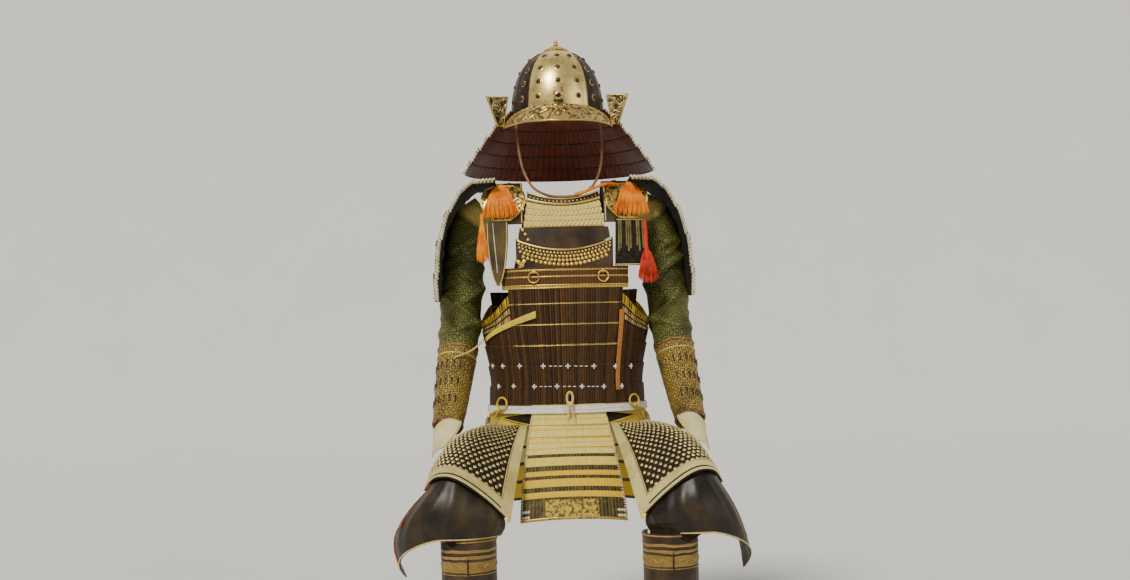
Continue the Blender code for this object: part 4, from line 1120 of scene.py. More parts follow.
    def build_turnbacks(self) -> None:
        """The turned-back plates with their rims."""
        for side in Side:
            across = self.middle if side is Side.RIGHT else -self.middle
            plate = Panel(shifted(self.turnback_point, across), 14, 18, 3.0, side=side)
            plate.build(f"turnback_plate_{side.word}", Finish.DARK_GILT, "gilt",
                        [f"helmet_turnback_{side.word}"])

            def outline(s: float) -> tuple[float, float]:
                """Round the plate's edge."""
                at = s * 4 % 4
                corner = [(0.04, 0.03), (0.96, 0.03), (0.96, 0.97), (0.04, 0.97), (0.04, 0.03)]
                a, b = corner[int(at)], corner[int(at) + 1]
                return lerp(a[0], b[0], at % 1), lerp(a[1], b[1], at % 1)

            rim = edge_line(plate, outline, 49, 0.3)[:-1]
            tube(f"turnback_rim_{side.word}", rim, 1.3, Finish.GILT, closed=True)

    def build_neck_guard(self) -> None:
        """The neck guard's lacquered lames, each hung on rows of lacing, with a braided edge."""
        edges = [k / self.neck_lames for k in range(self.neck_lames)]
        guard = Panel(self.neck_point, 120, lame_rows(edges, 0.016, 5), 3.0, saw(edges, 3.4 * MM, 0.016))
        guard.build("neck_guard_lames", Finish.RED_LACQUER, "red_lacquer", ["helmet_neck_guard"])
        forward = Matrix.Translation((0, -1.6 * MM, 0))
        braid = [forward @ place @ Matrix.Rotation(math.radians(35), 4, "X") for u in (0.0, 1.0)
                 for place in edge_places(guard, lambda s, u=u: (u, lerp(0.02, 0.99, s)), 7.6, -3.4)]
        braid += edge_places(guard, lambda s: (lerp(0.012, 0.988, s), 0.978), 8.4, 0.2, 35)
        copies("neck_guard_braid", bead(4.4, 6.6, 4.0), braid, Finish.PALE_SILK)
        # dark iron lines inside the guard at each lame's edge: painted shade standing for the dark gaps
        # between the lames
        for k, edge in enumerate(edges[1:]):
            line = edge_line(guard, lambda s: (lerp(0.005, 0.995, s), edge + 0.004), 90, -3.6)
            tube(f"neck_guard_inner_line_{k + 1}", line, 1.5, Finish.STUD_IRON)
        laces = []
        for edge in edges[1:]:
            for k in range(30):
                u = (k + 0.5) / 30
                laces += [guard.spot(u, edge + 0.03, 0.1, 90), guard.spot(u + 0.006, edge + 0.03, 0.1, 90)]
        copies("neck_guard_laces", bead(15.0, 2.6, 1.8), laces, Finish.BROWN_SILK)

    def build(self) -> None:
        """Every piece of the helmet."""
        self.build_bowl()
        self.build_visor()
        self.build_turnbacks()
        self.build_neck_guard()


# ---------------------------------------------------------------- the cuirass


@dataclass
class Cuirass:
    """The body wall of laced lames, its trim, and the chest and back plates over it."""

    height: float = 254.0
    lames: tuple[float, ...] = (254, 224, 178, 132, 86, 40)
    step: float = 3.0
    ramp: float = 2.0
    wall: float = 4.0
    front_angle: float = 40.0
    back_angle: float = 120.0
    side_level: float = 132.0
    chest_top: float = 302.0
    scoop_low: float = 340.0
    scoop_rise: float = 26.0

    def edges(self) -> list[float]:
        """Share down the body wall of each lame's upper edge."""
        return [1 - h / self.height for h in self.lames]

    def body_panel(self, start: float, end: float, columns: int) -> Panel:
        """A stretch of the body wall between two angles."""
        panel = Panel(lambda u, v: body_point(lerp(start, end, u), lerp(self.height, 0, v)), columns,
                      lame_rows(self.edges(), self.ramp / self.height, 4), self.wall)
        panel.relief = laced(saw(self.edges(), self.step * MM, self.ramp / self.height), panel.cut_size()[0])
        return panel

    def side_point(self, u: float, v: float) -> Vector:
        """A side wall's face, whose lowest lames run level with the front's."""
        angle = lerp(self.front_angle + 0.17, self.back_angle - 0.17, u)
        level = 1 - self.side_level / self.height
        if v >= level:
            return body_point(angle, lerp(self.height, 0, v))
        top = along([(41, 240), (55, 206), (78, 184), (98, 188), (120, 226)], angle)[0]
        return body_point(angle, lerp(top, self.side_level, v / level))

    def build_body(self) -> None:
        """The front, sides and back, with gilt lines along the lames."""
        front = self.body_panel(-self.front_angle, self.front_angle, 192)
        front.build("body_front_lacing", Finish.CUIRASS, "brown_lacing", ["cuirass_front"])
        back = self.body_panel(self.back_angle, 360 - self.back_angle, 240)
        back.build("body_back_lacing", Finish.CUIRASS, "brown_lacing", ["cuirass_back"])
        level = 1 - self.side_level / self.height
        edges = [0.0, level * 0.36, level] + self.edges()[4:]
        steps = saw(edges, self.step * MM, self.ramp / self.height)
        for side in Side:
            rows = lame_rows(edges, self.ramp / self.height, 4)
            panel = Panel(self.side_point, 130, rows, self.wall, side=side)
            panel.relief = laced(steps, panel.cut_size()[0])
            panel.build(f"body_side_lacing_{side.word}", Finish.SIDES, "brown_lacing",
                        [f"cuirass_side_{side.word}"])
            for k, v in enumerate((0.09, 0.165)):
                line = edge_line(panel, lambda s, v=v: (lerp(0.01, 0.99, s), v), 40, 0.3)
                tube(f"side_top_line_{k + 1}_{side.word}", line, 1.0, Finish.GILT)
        for k, edge in enumerate(self.edges()[1:4]):
            reach = (0.78, 0.90, 0.90)[k]
            line = edge_line(front, lambda s: (lerp(0.5 - reach / 2, 0.5 + reach / 2, s), edge + 0.010), 60,
                             0.1)
            tube(f"lame_line_{k + 1}", line, 0.8, Finish.GILT)

    def knot_spot(self, angle: float, height: float, lift: float, turn: float = 0.0) -> Matrix:
        """A placing on the front of the body wall by angle and height."""
        panel = Panel(lambda u, v: body_point(lerp(-90, 90, u), lerp(self.height, 0, v)), 1, 1, 1.0,
                      saw(self.edges(), self.step * MM, self.ramp / self.height))
        return panel.spot((angle + 90) / 180, 1 - height / self.height, lift, turn)

    def build_knots(self) -> None:
        """The two rows of white crossed knots and the dashes between the middle ones."""
        upper = ((-69.5, 86), (-53.9, 86), (-36.6, 86), (-17.6, 85), (0.1, 84), (18.8, 82), (36.5, 80),
                 (52.8, 79))
        lower = ((-61.6, 40), (-43.5, 41), (-25.2, 40), (-8.1, 39.6), (9.8, 38), (26.5, 36), (42.5, 35))
        places = [self.knot_spot(a, h, 0.2) for a, h in upper + lower]
        copies("white_knots", crossed_knot(11.5, 3.2), places, Finish.KNOT_SILK)
        dashes = []
        for (a, h), (b, g) in list(zip(upper[3:5], upper[4:6])) + list(zip(lower[2:5], lower[3:6])):
            dashes += [self.knot_spot(lerp(a, b, t), lerp(h, g, t), 0.1) for t in (0.3, 0.5, 0.7)]
        copies("white_dashes", bead(6.8, 2.0, 1.8), dashes, Finish.KNOT_SILK)

    def build_trim(self) -> None:
        """The orange hinge lacing and the slanting gold band on the body wall."""
        hinge = Panel(lambda u, v: body_point(lerp(36.9, 40.6, u), lerp(206, 28, v), self.step + 0.7), 10, 90,
                      1.8,
                      lambda u, v: 0.5 * MM * np.abs(np.sin(v * 60)) * np.cos(np.pi * (u - 0.5)), lift=1.8)
        hinge.build("hinge_lacing", Finish.ORANGE_LACING, "brown_leather", ["hinge_strip"])

        def slant(u: float, v: float) -> Vector:
            """The slanting band's face."""
            middle, half = lerp(199, 146, u), lerp(7.5, 4.5, u)
            return body_point(lerp(-20.0, -72.0, u), lerp(middle + half, middle - half, v), self.step + 0.5)

        band = Panel(lambda u, v: slant(1 - u, v), 60, 8, 1.6,
                     lambda u, v: 0.5 * MM * np.sin(np.pi * v) + 0.12 * MM * np.sin(u * 240), lift=1.6)
        band.build("slanting_band", Finish.YELLOW_SILK, "yellow_lacing", ["slanted_edge_band"])

    def chest_face(self, half_low: float, half_top: float, low: Callable[[float], float],
                   top: Callable[[float], float]) -> Surface:
        """A chest plate's face between two heights given across it, sizes in mm."""

        def face(u: float, v: float) -> Vector:
            """The plate's base face."""
            s = 2 * u - 1
            height = lerp(top(s), low(s), v)
            return body_point(body_angle(lerp(half_top, half_low, v) * s, height), height)

        return face

    def scoop(self, s: float) -> float:
        """Height of the chest's curved line."""
        return self.scoop_low + self.scoop_rise * s * s

    def build_band(self) -> None:
        """The chest band with its gilt lines and two rings."""
        face = self.chest_face(140, 140, lambda s: self.height + 0.3, lambda s: self.chest_top)
        band = Panel(face, 150, lame_rows([0.0, 0.5], 0.03, 7), 4.0, saw([0.0, 0.5], 2.4 * MM, 0.03))
        band.build("chest_band_lacing", Finish.CHEST_BAND, "gilt", ["chest_band"])
        for k, (v, radius) in enumerate(((0.12, 1.0), (0.44, 1.2), (0.83, 1.6), (0.965, 1.3))):
            line = edge_line(band, lambda s, v=v: (lerp(0.01, 0.99, s), v), 60, 0.0)
            tube(f"chest_band_line_{k + 1}", line, radius, Finish.GILT)
        for side, x in ((Side.RIGHT, 81.0), (Side.LEFT, -68.0)):
            low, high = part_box(f"chest_ring_{side.word}")
            at = self.knot_spot(body_angle(x, 280), 253.9, 0).copy()
            at.translation = (low + high) / 2
            deselect()
            bpy.ops.mesh.primitive_torus_add(major_segments=40, minor_segments=12, major_radius=12 * MM,
                                             minor_radius=1.9 * MM)
            ring = bpy.context.active_object
            copies(f"ring_{side.word}", ring, [at], Finish.GILT, [f"chest_ring_{side.word}"])
            staple = at @ Matrix.Translation((0, 12 * MM, -3.2 * MM))
            copies(f"ring_staple_{side.word}", bead(7.0, 9.0, 6.0), [staple], Finish.GILT)

    def build_chest_lame(self) -> None:
        """The beaded lame, the curved gold line over it and the smooth plate above."""
        face = self.chest_face(106, 106, lambda s: self.chest_top + 0.3, self.scoop)
        lame = Panel(face, 90, 30, 6.0, lambda u, v: (2.5 + 2.0 * (1 - v)) * MM)
        lame.build("chest_lame_plate", Finish.BROWN_LEATHER, "studded_black", ["chest_lame"])
        line = edge_line(lame, lambda s: (lerp(0.02, 0.98, s), 0.035), 60, 0.4)
        tube("scoop_line", line, 2.1, Finish.GOLD_BEADS)
        places: list[Matrix] = []
        rows = ((8.6, 27, 0.62, 0.97), (16.0, 26, 0.74, 0.97), (24.2, 24, 0.88, 0.95), (33.4, 20, 1.0, 0.90))
        for down, count, size, reach in rows:
            for k in range(count):
                s = reach * (2 * (k + 0.5) / count - 1)
                tall = self.scoop(s) - self.chest_top
                places.append(lame.spot((s + 1) / 2, down / tall, -0.3, scale=size))
        copies("chest_beads", dome(4.6, 4.0, 12), places, Finish.GOLD_BEADS)
        plate_face = self.chest_face(102, 98, lambda s: self.scoop(s) + 0.3, lambda s: 390.0)
        plate = Panel(plate_face, 60, 16, 5.2, lambda u, v: 1.2 * MM * (1 - v))
        plate.build("chest_upper_plate", Finish.BROWN_LEATHER, "brown_leather", ["chest_plate"])
        trail = [plate.spot(u, v, 0.0, scale=0.95) for u, v in ((0.035, 0.12), (0.070, 0.44), (0.105, 0.78))]
        copies("trail_beads", dome(4.6, 4.0, 12), trail, Finish.GOLD_BEADS)
        fitting = [lame.spot(u, v, -0.2, turn)
                   for u, v, turn in ((0.055, 0.93, 20), (0.025, 0.80, -30), (0.075, 0.80, 60))]
        copies("chest_fitting", bead(14.0, 9.0, 5.0), fitting, Finish.GILT)

    def build_breast(self) -> None:
        """The breast plate with its slanting ropes of lacing."""

        def ropes(u: np.ndarray, v: np.ndarray) -> np.ndarray:
            """Four rows of twisted rope between the gilt lines."""
            inside = (v > 0.27) & (v < 0.975)
            row = (v - 0.27) / 0.176
            round_rows = np.abs(np.sin(np.pi * row)) ** 0.5
            lean = np.where(np.floor(row) % 2 > 0.5, 1.0, -1.0)
            twist = 0.42 + 0.58 * np.cos(math.tau * (u * 168 / 9.0 + lean * row * 0.9))
            return np.where(inside, 3.4 * round_rows * twist, 2.4) * MM + 0.3 * MM

        face = self.chest_face(89, 78, lambda s: 390.3, lambda s: 454 + 18 * s * s)
        plate = Panel(face, 220, 64, 4.2, ropes)
        plate.build("breast_ropes", Finish.BREAST, "black_lacquer", ["breast_plate"])
        for k, (v, radius) in enumerate(((0.03, 1.6), (0.205, 2.0))):
            line = edge_line(plate, lambda s, v=v: (lerp(0.015, 0.985, s), v), 60, 0.3)
            tube(f"breast_line_{k + 1}", line, radius, Finish.GOLD_BEADS if k else Finish.GILT)
        dots = edge_places(plate, lambda s: (lerp(0.05, 0.95, s), 0.12), 9.0, 0.0)
        copies("breast_dots", dome(1.7, 1.4, 8), dots, Finish.PALE_SILK)

    def build_upper_back(self) -> None:
        """The back plate above the body wall."""

        def face(u: float, v: float) -> Vector:
            """The plate's base face."""
            height = lerp(472, self.height + 0.3, v)
            half = 85 + 42 * v**1.3
            return body_point(180 - body_angle(half * (2 * u - 1), height), height)

        edges = [0.0, 0.27, 0.5, 0.75]
        steps = saw(edges, self.step * MM, 0.01)
        back = Panel(face, 170, lame_rows(edges, 0.010, 5), self.wall)
        back.relief = laced(steps, back.cut_size()[0])
        back.build("upper_back_lacing", Finish.CUIRASS, "brown_lacing", ["upper_back"])
        line = edge_line(back, lambda s: (lerp(0.01, 0.99, s), 0.02), 50, 0.0)
        tube("upper_back_line", line, 1.6, Finish.GILT)

    def build(self) -> None:
        """Every piece of the cuirass."""
        self.build_body()
        self.build_knots()
        self.build_trim()
        self.build_band()
        self.build_chest_lame()
        self.build_breast()
        self.build_upper_back()


# ---------------------------------------------------------------- shoulders and what hangs from them


def strap_surface(x: float, share: float) -> Vector:
    """A point of the shoulder strap's outer face.

    Args:
        x: Distance from the middle, in mm.
        share: Share along the strap, from its front end to its back.

    Returns:
        The point, in metres.
    """
    rows = [(0.0, -104, 400, 0.36), (0.15, -100, 436, 0.34), (0.32, -76, 472, 0.20), (0.50, -34, 495, 0.06),
            (0.68, 22, 502, 0.0), (0.84, 80, 488, -0.14), (1.0, 116, 440, -0.26)]
    y, z, turn = along(rows, share)
    return Vector((x, y + turn * (x - 118), z)) * MM


def leaf_face(x: float, v: float) -> Vector:
    """The strap's face carried on sideways, v 0 at the leaf's top and 1 at its lower tip."""
    return strap_surface(x, lerp(0.42, 0.03, v))


@dataclass
class Tassel:
    """A tassel of fine twisted strands that fan out from its head.

    Attributes:
        name: Its CAD node, which gives its name too.
        side: The side it is on.
        finish: Its silk.
        slot: Its material slot in the record.
        line: The point so far across, down and out of the face it lies on, in mm.
        head: Length of its head in mm.
        length: Its whole length in mm.
        half_top: Half width at the head.
        half_foot: Half width at the foot.
        depth: Depth of its layers together.
        strands: Strands in one layer.
        scallop: How much shorter its outer strands are, in mm.
    """

    name: str
    side: Side
    finish: Finish
    slot: str
    line: Callable[[float, float, float], Vector]
    head: float
    length: float
    half_top: float
    half_foot: float
    depth: float
    strands: int
    scallop: float = 7.0

    def strand_line(self, k: int, layer: int, layers: int) -> list[Vector]:
        """One strand's middle line, from under the head to its end."""
        s = 2 * (k + 0.5 + 0.5 * (layer % 2)) / self.strands - 1
        s = min(max(s, -1.0), 1.0)
        uneven = math.sin(k * 12.9 + layer * 4.1)
        end = self.length - self.scallop * s * s - 1.5 * (1 + uneven)
        points = []
        for step in range(9):
            share = step / 8
            half = lerp(self.half_top, self.half_foot, share**0.62) * 0.96
            sway = 0.9 * math.sin(5 * share + k * 1.7) * share
            back = self.depth * lerp(1.0, 1.2, share) * (0.12 + 0.76 * layer / max(1, layers - 1))
            down = lerp(self.head * 0.7, end, share)
            points.append(self.line(half * s + sway, down, max(0.6, back + 0.4 * uneven * share)))
        return points

    def build(self) -> None:
        """The head and its strands."""
        layers = 3
        radius = max(0.9, 0.92 * self.half_foot / self.strands)
        sides, rings = 4, 9
        points: list[Vector] = []
        faces: list[tuple[int, ...]] = []
        for layer in range(layers):
            for k in range(self.strands):
                way = self.strand_line(k, layer, layers)
                first = len(points)
                for i, middle in enumerate(way):
                    onward = (way[min(i + 1, rings - 1)] - way[max(i - 1, 0)]).normalized()
                    aside = onward.cross(Vector((0, -1, 0))).normalized()
                    out = aside.cross(onward)
                    wide = radius * (0.75 + 0.4 * math.sin(math.pi * min(1.0, i / rings + 0.15))) * MM
                    wide *= 0.45 if i == rings - 1 else 1.0
                    for c in range(sides):
                        bend = math.tau * (c + 0.5) / sides + 0.4 * i
                        points.append(middle + (aside * math.cos(bend) + out * math.sin(bend)) * wide)
                for i in range(rings - 1):
                    for c in range(sides):
                        a, b = first + i * sides + c, first + i * sides + (c + 1) % sides
                        faces.append((a, b, b + sides, a + sides))
                faces.append(tuple(first + c for c in reversed(range(sides))))
                faces.append(tuple(first + (rings - 1) * sides + c for c in range(sides)))
        if self.side is Side.LEFT:
            points = [Vector((-p.x, p.y, p.z)) for p in points]
            faces = [tuple(reversed(f)) for f in faces]
        model = bpy.data.meshes.new(self.name)
        model.from_pydata([tuple(p) for p in points], [], faces)
        strands = bpy.data.objects.new(self.name, model)
        copies(f"{self.name}_strands", strands, [Matrix.Identity(4)], self.finish, [self.name])
        self.build_head()

    def build_head(self) -> None:
        """The bound head over the strands' roots."""

        def wrapped(u: float, v: float) -> Vector:
            """The head's rounded face."""
            turn = math.tau * u
            swell = 0.94 + 0.08 * math.sin(3 * math.pi * v)
            if self.head < 30:
                swell = 0.86 + 0.20 * math.sin(math.pi * v)
            half = lerp(self.half_top * 0.86, self.half_top * 1.06, v) * swell
            back = self.depth * (0.5 + 0.5 * math.cos(turn))
            return self.line(half * math.sin(turn), lerp(0.5, self.head, v), max(0.3, back))

        head = Panel(lambda u, v: wrapped(1 - u, v), 28, 24, 1.0,
                     lambda u, v: 0.35 * MM * (0.5 + 0.5 * np.cos(v * self.head / 2.4 * math.tau)) - 0.3 * MM,
                     closed=True, side=self.side)
        head.build(f"{self.name}_head", self.finish, self.slot)


@dataclass
class Shoulders:
    """The shoulder straps with their leaf plates, the two hung plates and the four tassels."""

    inner: float = 90.4
    outer: float = 150.0
    leaf_right: float = 141.0
    leaf_left: float = 133.0
    gap: float = 0.7
    lean: float = 12.0

    def build_strap(self, side: Side) -> None:
        """A strap with piping along both edges."""
        strap = Panel(lambda u, v: strap_surface(lerp(self.outer, self.inner, u), v), 16, 60, 5.0,
                      lambda u, v: 0.5 * MM * np.sin(np.pi * u) - 0.5 * MM, side=side)
        strap.build(f"strap_{side.word}", Finish.BROWN_LEATHER, "brown_leather",
                    [f"shoulder_strap_{side.word}"])
        for k, u in enumerate((0.04, 0.96)):
            line = edge_line(strap, lambda s, u=u: (u, lerp(0.01, 0.99, s)), 60, 0.1)
            tube(f"strap_piping_{k + 1}_{side.word}", line, 1.3, Finish.GOLD_SILK)
        ties = edge_places(strap, lambda s: (0.5, lerp(0.62, 0.98, s)), 17, 0.2)
        copies(f"strap_ties_{side.word}", bead(9, 3, 2.2), ties, Finish.GOLD_SILK)

    def build_leaf(self, side: Side) -> None:
        """A leaf plate with its raised rim and its rivets."""
        middle = self.leaf_right if side is Side.RIGHT else self.leaf_left
        widths = [(0.0, 22), (0.18, 42), (0.45, 50), (0.72, 45), (0.90, 30), (1.0, 16)]

        def face(u: float, v: float) -> Vector:
            """The strap's face over the leaf's outline."""
            return leaf_face(middle + along(widths, v)[0] * (2 * u - 1), v)

        def hammered(u: np.ndarray, v: np.ndarray) -> np.ndarray:
            """A dished plate with a raised edge."""
            edge = np.maximum(np.abs(2 * u - 1), np.abs(2 * v - 1))
            return MM * (0.9 * np.exp(-(((edge - 0.90) / 0.05) ** 2)) - 0.5 * np.clip(0.85 - edge, 0, 1))

        leaf = Panel(face, 48, 48, 2.5, hammered, side=side, lift=3.2)
        leaf.build(f"leaf_{side.word}", Finish.LEAF_GILT, "gilt", [f"leaf_plate_{side.word}"])
        corners = ((0.03, 0.02), (0.97, 0.02), (0.97, 0.98), (0.03, 0.98), (0.03, 0.02))

        def outline(s: float) -> tuple[float, float]:
            """Round the leaf's edge."""
            k = min(int(s * 4), 3)
            (a, b), (c, d) = corners[k], corners[k + 1]
            return lerp(a, c, s * 4 - k), lerp(b, d, s * 4 - k)

        tube(f"leaf_rim_{side.word}", edge_line(leaf, outline, 97, 0.4)[:-1], 1.5, Finish.GILT,
             closed=True)
        rivets = edge_places(leaf, lambda s: (lerp(0.09, 0.91, s), 0.08 + 0.02 * math.sin(math.pi * s)), 11,
                             0.3)
        rivets += [leaf.spot(u, v, 0.3) for v in (0.25, 0.4, 0.55, 0.7, 0.85) for u in (0.08, 0.92)]
        copies(f"leaf_rivets_{side.word}", dome(1.5, 1.2, 8), rivets, Finish.GOLD_BEADS)

    def hung_face(self, widths: Sequence[tuple[float, float]], reach: float) -> Surface:
        """The face of a plate hung below a leaf plate's tip."""
        head = leaf_face(148, 1.0).z / MM - 0.5

        def face(u: float, v: float) -> Vector:
            """The plate's outer face."""
            x = 148 + along(widths, v)[0] * (2 * u - 1)
            lean = self.lean * v**0.8
            return Vector((x, leaf_face(x, 1.0).y / MM - self.gap - lean - 3.0, head - reach * v)) * MM

        return face

    def build_hung_plates(self) -> None:
        """The narrow plate on the left and the wide one on the right."""
        narrow_widths = [(0.0, 24), (0.35, 23), (0.70, 17), (0.90, 10), (1.0, 3)]
        narrow = Panel(self.hung_face(narrow_widths, 142), 24, 54, 3.0,
                       lambda u, v: 0.5 * MM * np.exp(-(((np.abs(2 * u - 1) - 0.86) / 0.1) ** 2)),
                       side=Side.LEFT)
        narrow.build("hung_plate_narrow", Finish.PENDANT_BROWN, "brown_leather", ["narrow_pendant_left"])
        for k, u in enumerate((0.05, 0.95)):
            line = edge_line(narrow, lambda s, u=u: (u, lerp(0.02, 0.985, s)), 50, 0.1)
            tube(f"hung_plate_rim_{k + 1}", line, 1.1, Finish.GOLD_SILK)
        line = edge_line(narrow, lambda s: (lerp(0.70, 0.55, s), lerp(0.02, 0.80, s)), 40, 0.2)
        tube("hung_plate_stripe", line, 1.0, Finish.PALE_SILK)
        wide = Panel(self.hung_face([(0.0, 32), (0.5, 34), (1.0, 36)], 104), 60, 44, 3.0,
                     lambda u, v: 0.45 * MM * (0.5 + 0.5 * np.cos(u * 14 * math.tau)) - 0.3 * MM)
        wide.build("hung_plate_wide", Finish.BLACK_CLOTH, "studded_black", ["wide_pendant_right"])
        for k, u in enumerate((0.10, 0.17, 0.36, 0.43, 0.50, 0.72, 0.79, 0.92)):
            line = edge_line(wide, lambda s, u=u: (u, lerp(0.03, 0.70 - 0.06 * (k % 3), s)), 30, 0.1)
            tube(f"hung_plate_cord_{k + 1}", line, 2.0, Finish.OLIVE_STRIPE_SILK)
        for k, v in enumerate((0.02, 0.98)):
            line = edge_line(wide, lambda s, v=v: (lerp(0.02, 0.98, s), v), 30, 0.1)
            tube(f"hung_plate_edge_{k + 1}", line, 1.2, Finish.GOLD_SILK)

    def on_leaf(self, middle: float) -> Callable[[float, float, float], Vector]:
        """The leaf plate's face, with the last distance as the way out of it."""

        def line(across: float, down: float, back: float) -> Vector:
            """The point."""
            x, v, step = middle + across, 0.13 + down / 98, 1e-3
            normal = (leaf_face(x, v + step) - leaf_face(x, v - step)).cross(
                leaf_face(x + step, v) - leaf_face(x - step, v)).normalized()
            return leaf_face(x, v) + normal * (5.3 + back) * MM

        return line

    def below_leaf(self, across: float, down: float, back: float) -> Vector:
        """A face that hangs from under the leaf plate's outer edge."""
        x = 181.6 + across
        return Vector((x, leaf_face(x, 0.8).y / MM - 0.4 - 0.06 * down - back, 427 - down)) * MM

    def on_hung_plate(self, across: float, down: float, back: float) -> Vector:
        """The wide hung plate's face carried on down."""
        x = 181 + 0.03 * down + across
        lean = self.lean * (down / 104) ** 0.8
        return Vector((x, leaf_face(x, 1.0).y / MM - self.gap - lean - 4.8 - back, 404 - down)) * MM

    def build_tassels(self) -> None:
        """The large tassels over the leaf plates and the small ones beside them."""
        for side, middle in ((Side.RIGHT, 149.0), (Side.LEFT, 137.0)):
            Tassel(f"tassel_large_{side.word}", side, Finish.ORANGE_SILK, "orange_silk", self.on_leaf(middle),
                   12, 80, 10, 41, 9, 26, 5).build()
        Tassel("tassel_small_left", Side.LEFT, Finish.ORANGE_SILK, "orange_silk", self.below_leaf,
               36, 111, 3.5, 14, 3.6, 11, 5).build()
        Tassel("tassel_small_right", Side.RIGHT, Finish.RED_SILK, "red_silk", self.on_hung_plate,
               96, 142, 4, 25, 7, 17, 9).build()

    def build(self) -> None:
        """Every piece on the shoulders."""
        for side in Side:
            self.build_strap(side)
            self.build_leaf(side)
        self.build_hung_plates()
        self.build_tassels()


@dataclass
class ShoulderGuards:
    """The two large shoulder guards of black lacquered lames, laced and edged with dotted braid."""

    front: float = -105.0
    back: float = 150.0
    top: float = 499.0
    inner: float = 150.4
    flat_end: float = 187.0
    reach: float = 108.0
    fall: float = 214.0
    skirt: float = 50.0
    bow: float = 12.0
    lames: tuple[float, ...] = (0.0, 0.14, 0.31, 0.48, 0.65, 0.82)

    def face(self, u: float, v: float) -> Vector:
        """The outer face: flat on the shoulder, then round and down over the arm."""
        flat = self.flat_end - self.inner
        curve = math.pi / 2 * math.sqrt((self.reach**2 + self.fall**2) / 2)
        way = v * (flat + curve + self.skirt)
        if way < flat:
            x, z = self.inner + way, self.top
        elif way < flat + curve:
            turn = (way - flat) / curve * math.pi / 2
            x, z = self.flat_end + self.reach * math.sin(turn), self.top - self.fall * (1 - math.cos(turn))
        else:
            x, z = self.flat_end + self.reach + 2, self.top - self.fall - (way - flat - curve)
        bend = self.bow * (2 * u - 1) ** 2 * min(1.0, max(0.0, (v - 0.1) / 0.3))
        return Vector((x - bend, lerp(self.front, self.back, u), z)) * MM

    def build(self) -> None:
        """Both guards."""
        for side in Side:
            guard = Panel(self.face, 96, lame_rows(self.lames, 0.010, 6), 3.0,
                          saw(self.lames, 2.6 * MM, 0.010), side=side)
            guard.build(f"guard_lames_{side.word}", Finish.BLACK_LACQUER, "black_lacquer",
                        [f"shoulder_guard_{side.word}"])
            dots = []
            for u in (0.018, 0.052, 0.948, 0.982):
                dots += edge_places(guard, lambda s, u=u: (u, lerp(0.012, 0.985, s)), 6.8, 0.0)
            dots += edge_places(guard, lambda s: (lerp(0.07, 0.93, s), 0.972), 7.4, 0.0)
            copies(f"guard_braid_{side.word}", dome(2.4, 1.9, 8), dots, Finish.PALE_SILK)
            lining = Panel(self.face, 60, lame_rows(self.lames, 0.010, 4), 0.7,
                           saw(self.lames, 2.6 * MM, 0.010), side=side, lift=-3.2)
            lining.build(f"guard_lining_{side.word}", Finish.LINING, "black_lacquer")
            forward = Matrix.Translation((0, -1.8 * MM, 0))
            rope = [forward @ place @ Matrix.Rotation(math.radians(38), 4, "X") for place in
                    edge_places(guard, lambda s: (0.0, lerp(0.006, 0.99, s)), 8.2, -3.2)]
            copies(f"guard_front_rope_{side.word}", bead(4.6, 10.5, 5.0), rope, Finish.PALE_SILK)
            rows = []
            for u, turn in ((0.026, 40), (0.062, -40)):
                rows += edge_places(guard, lambda s, u=u: (u, lerp(0.02, 0.985, s)), 8.6, -5.8, turn)
            copies(f"guard_inner_braid_{side.word}", bead(8.2, 4.0, 3.2), rows, Finish.PALE_SILK)
            cords = []
            for edge in self.lames[1:]:
                for k in range(26):
                    u = lerp(0.085, 0.915, k / 25)
                    cords.append(guard.spot(u, edge + 0.022, 0.0, 90))
            copies(f"guard_lacing_{side.word}", bead(12.0, 3.0, 2.0), cords, Finish.BROWN_SILK)
            line = edge_line(guard, lambda s: (lerp(0.01, 0.99, s), 0.993), 50, 0.2)
            tube(f"guard_foot_rim_{side.word}", line, 1.3, Finish.GILT)
            line = edge_line(guard, lambda s: (0.034, lerp(0.012, 0.985, s)), 70, 0.1)
            tube(f"guard_front_line_{side.word}", line, 0.9, Finish.GILT)


# ---------------------------------------------------------------- cloth


def flat_cut(panel: Panel) -> tuple[float, float, float]:
    """The width, length and area of the cloth that a panel is made of.

    Args:
        panel: The cloth.

    Returns:
        The widest row, the longest column and the face's area, in metres.
    """
    points = panel.base()
    if panel.relief:
        shares = np.linspace(0, 1, panel.columns + 1)
        u, v = np.meshgrid(shares if panel.side is Side.RIGHT else 1 - shares, np.array(panel.down))
        points = points + panel.outward(panel.base()) * (panel.relief(u, v) + panel.lift * MM)[..., None]
    width = np.linalg.norm(np.diff(points, axis=1), axis=2).sum(axis=1).max()
    length = np.linalg.norm(np.diff(points, axis=0), axis=2).sum(axis=0).max()
    diagonals = np.cross(points[1:, 1:] - points[:-1, :-1], points[1:, :-1] - points[:-1, 1:])
    area = np.linalg.norm(diagonals, axis=2).sum() / 2
    return float(width), float(length), min(float(area), float(width * length))


def declare_cloth(piece: bpy.types.Object, panel: Panel) -> None:
    """Logs the flat cut of a cloth piece's panel."""
    width, length, area = flat_cut(panel)
    LOG.info("%s: cut %.3f x %.3f m, %.4f m2", piece.name, width, length, area)


